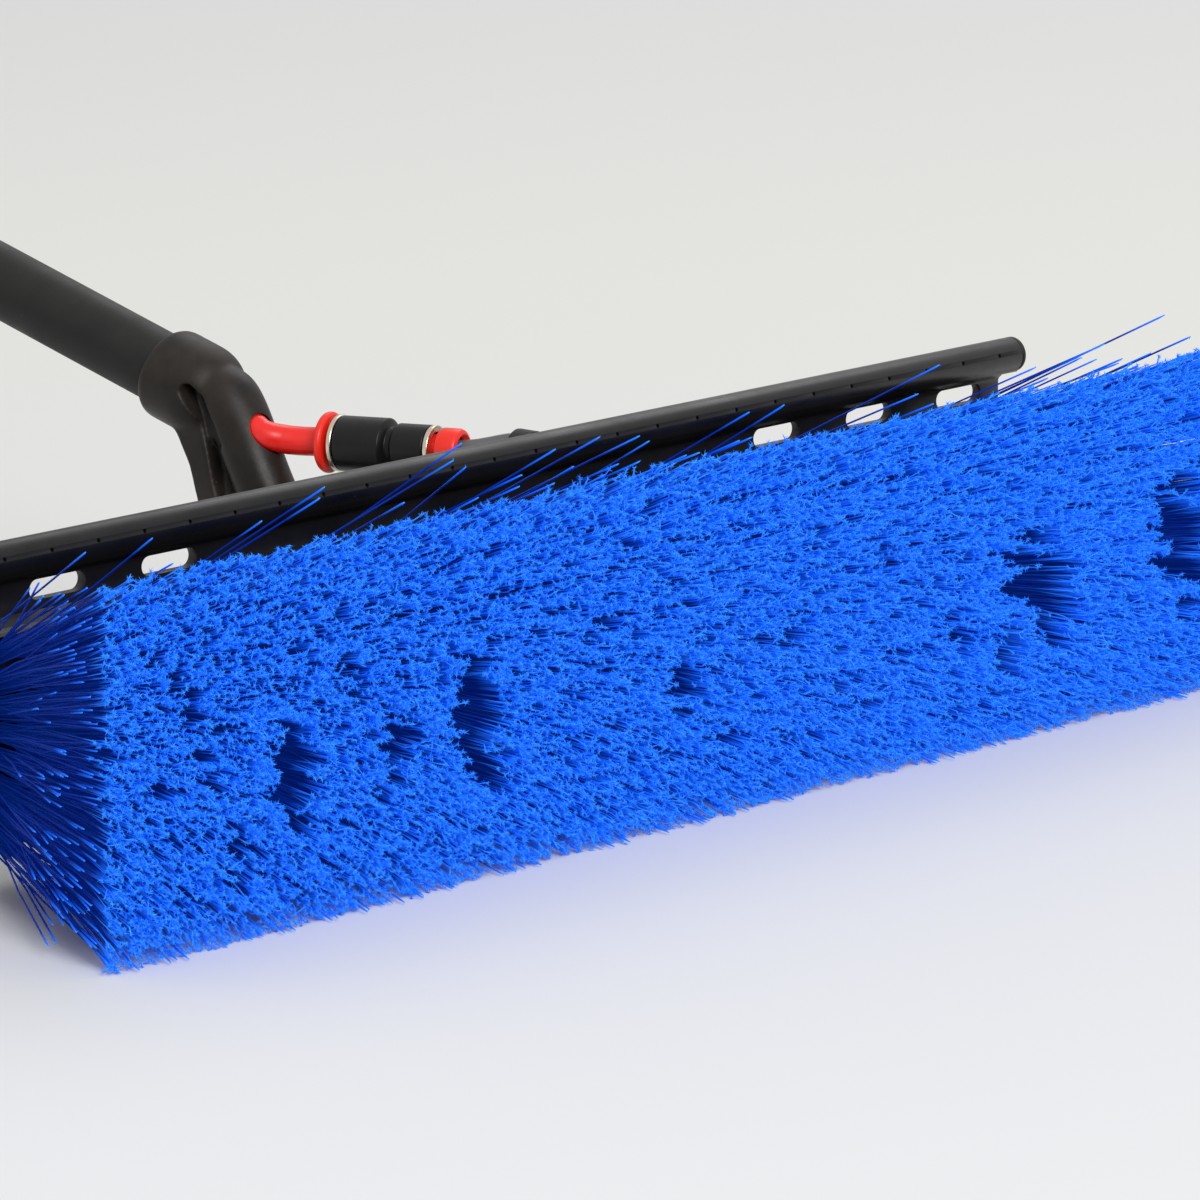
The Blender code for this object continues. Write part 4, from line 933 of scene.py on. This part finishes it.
stadium = [
    (straight + end_radius * math.cos(a), end_radius * math.sin(a)) for a in np.radians(np.arange(-90, 91, 15))
]
stadium += [(-x, -z) for x, z in stadium]
web_end = [(-PAST, UNDER_WEB), (PAST, UNDER_WEB), (PAST, UNDER_TUBE), (-PAST, UNDER_TUBE)]
web_end = np.array(web_end) + (BAR_Y, BAR_Z)


def through_web(middle):
    """Turns a prism along x into one along y, and puts it into the web at x = middle."""
    return lambda p: np.column_stack([p[:, 1] + middle, p[:, 0] + BAR_Y, p[:, 2] + (BAR_Z - SLOT_DROP)])


cuts = []
for number in range(SLOTS_AT_END):
    for side in (-1, 1):
        middle = side * (web_half - SLOT_FROM_END - number * SLOT_PITCH)
        cuts.append(prism("slot", stadium, -PAST, PAST, through_web(middle)))
cuts += [prism("web_end", web_end, *sorted((side * web_half, side * (half + PAST)))) for side in (-1, 1)]
jets = int((web_half - JET_MARGIN) / JET_PITCH)
aim = Vector((0, -math.cos(JET_RISE), math.sin(JET_RISE)))
for number in range(-jets, jets + 1):
    at = Vector((number * JET_PITCH, BAR_Y, BAR_Z))
    cuts.append(drill("jet", JET_START, JET_END, JET_RADIUS, at, aim, 16))
bar = worked(bar, cut_by(joined("bar_cuts", cuts)))
bevel = {"width": EDGE_BEVEL, "segments": 2, "limit_method": "ANGLE", "angle_limit": math.radians(48)}
bar = worked(bar, ("BEVEL", bevel))
bar = piece_of("extruded_bar", bar, BAR_BLACK, sharp=30)
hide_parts("rinse_bar")

# %% [markdown]
# ## Finishes on the CAD pieces
# Where the CAD shape is already right, the node stays and only its material slots change. The nodes that a new
# surface replaced are hidden, so what they get doesn't show.

# %% Assign the finishes
FINISHES = {
    "stock": STOCK_BLACK, "stock_cap_left": STOCK_BLACK, "stock_cap_right": STOCK_BLACK, "bar_inlet": STOCK_BLACK,
    "neck_bracket": NECK_CHARCOAL, "inlet_stem": STEM_GREY,
}
for name, piece in nodes.items():
    finish = FINISHES.get(name) or (RUBBER_BLACK if "seal" in name else SCREW_STEEL)
    for slot in piece.material_slots:
        slot.material = finish

# %% [markdown]
# ## Floor and light
# The studio is a pale sheet that fills the view, with a tint that drifts from cool to warm and back along the line
# of sight. A large soft lamp stands above and in front, a weak one above and behind, and a white world fills in, at
# a level where a colour renders about as it is written.

# %% Floor
FLOOR_REACH = 14
FLOOR_TINTS = ((0.0, (0.720, 0.725, 0.735, 1)), (0.45, (0.730, 0.735, 0.700, 1)), (1.0, (0.690, 0.692, 0.705, 1)))
floor_finish, tree, shader = principled("studio_floor", (0.80, 0.81, 0.83), 0.9)
place = node(tree, "ShaderNodeTexCoord").outputs["Object"]
away = node(tree, "ShaderNodeVectorMath", {0: place, 1: (0.735, 0.677, 0.0)}, operation="DOT_PRODUCT")
ramp = node(tree, "ShaderNodeValToRGB", {"Fac": ranged(tree, away.outputs["Value"], -0.35, 2.0)})
ramp.color_ramp.elements.new(0.5)
for stop, (position, tint) in zip(ramp.color_ramp.elements, FLOOR_TINTS):
    stop.position, stop.color = position, tint
feed(tree, shader, {"Base Color": ramp.outputs["Color"]})
corners = [(x * FLOOR_REACH, y * FLOOR_REACH, 0) for x, y in ((-1, -1), (1, -1), (1, 1), (-1, 1))]
sheet_mesh = bpy.data.meshes.new("studio_floor")
sheet_mesh.from_pydata(corners, [], [(0, 1, 2, 3)])
sheet_mesh.materials.append(floor_finish)
sheet = placed("studio_floor", sheet_mesh)


# %% Lamps and world
def lamp(name, at, towards, size, watts):
    light = bpy.data.lights.new(name, "AREA")
    light.shape, light.size, light.energy = "DISK", size, watts
    made = placed(name, light)
    made.location = at
    made.rotation_euler = (Vector(towards) - Vector(at)).to_track_quat("-Z", "Y").to_euler()


lamp("soft_key", (-1.8, -3.4, 2.4), (0, -0.15, 0.05), 2.6, 150)
lamp("soft_fill", (1.8, 0.6, 1.9), (0, 0, 0.05), 1.8, 12)
world = bpy.data.worlds.new("studio_world")
world.use_nodes = True
feed(world.node_tree, world.node_tree.nodes["Background"], {"Color": (1, 1, 1, 1), "Strength": 0.62})
bpy.context.scene.world = world
bpy.context.scene.view_settings.view_transform = "Standard"
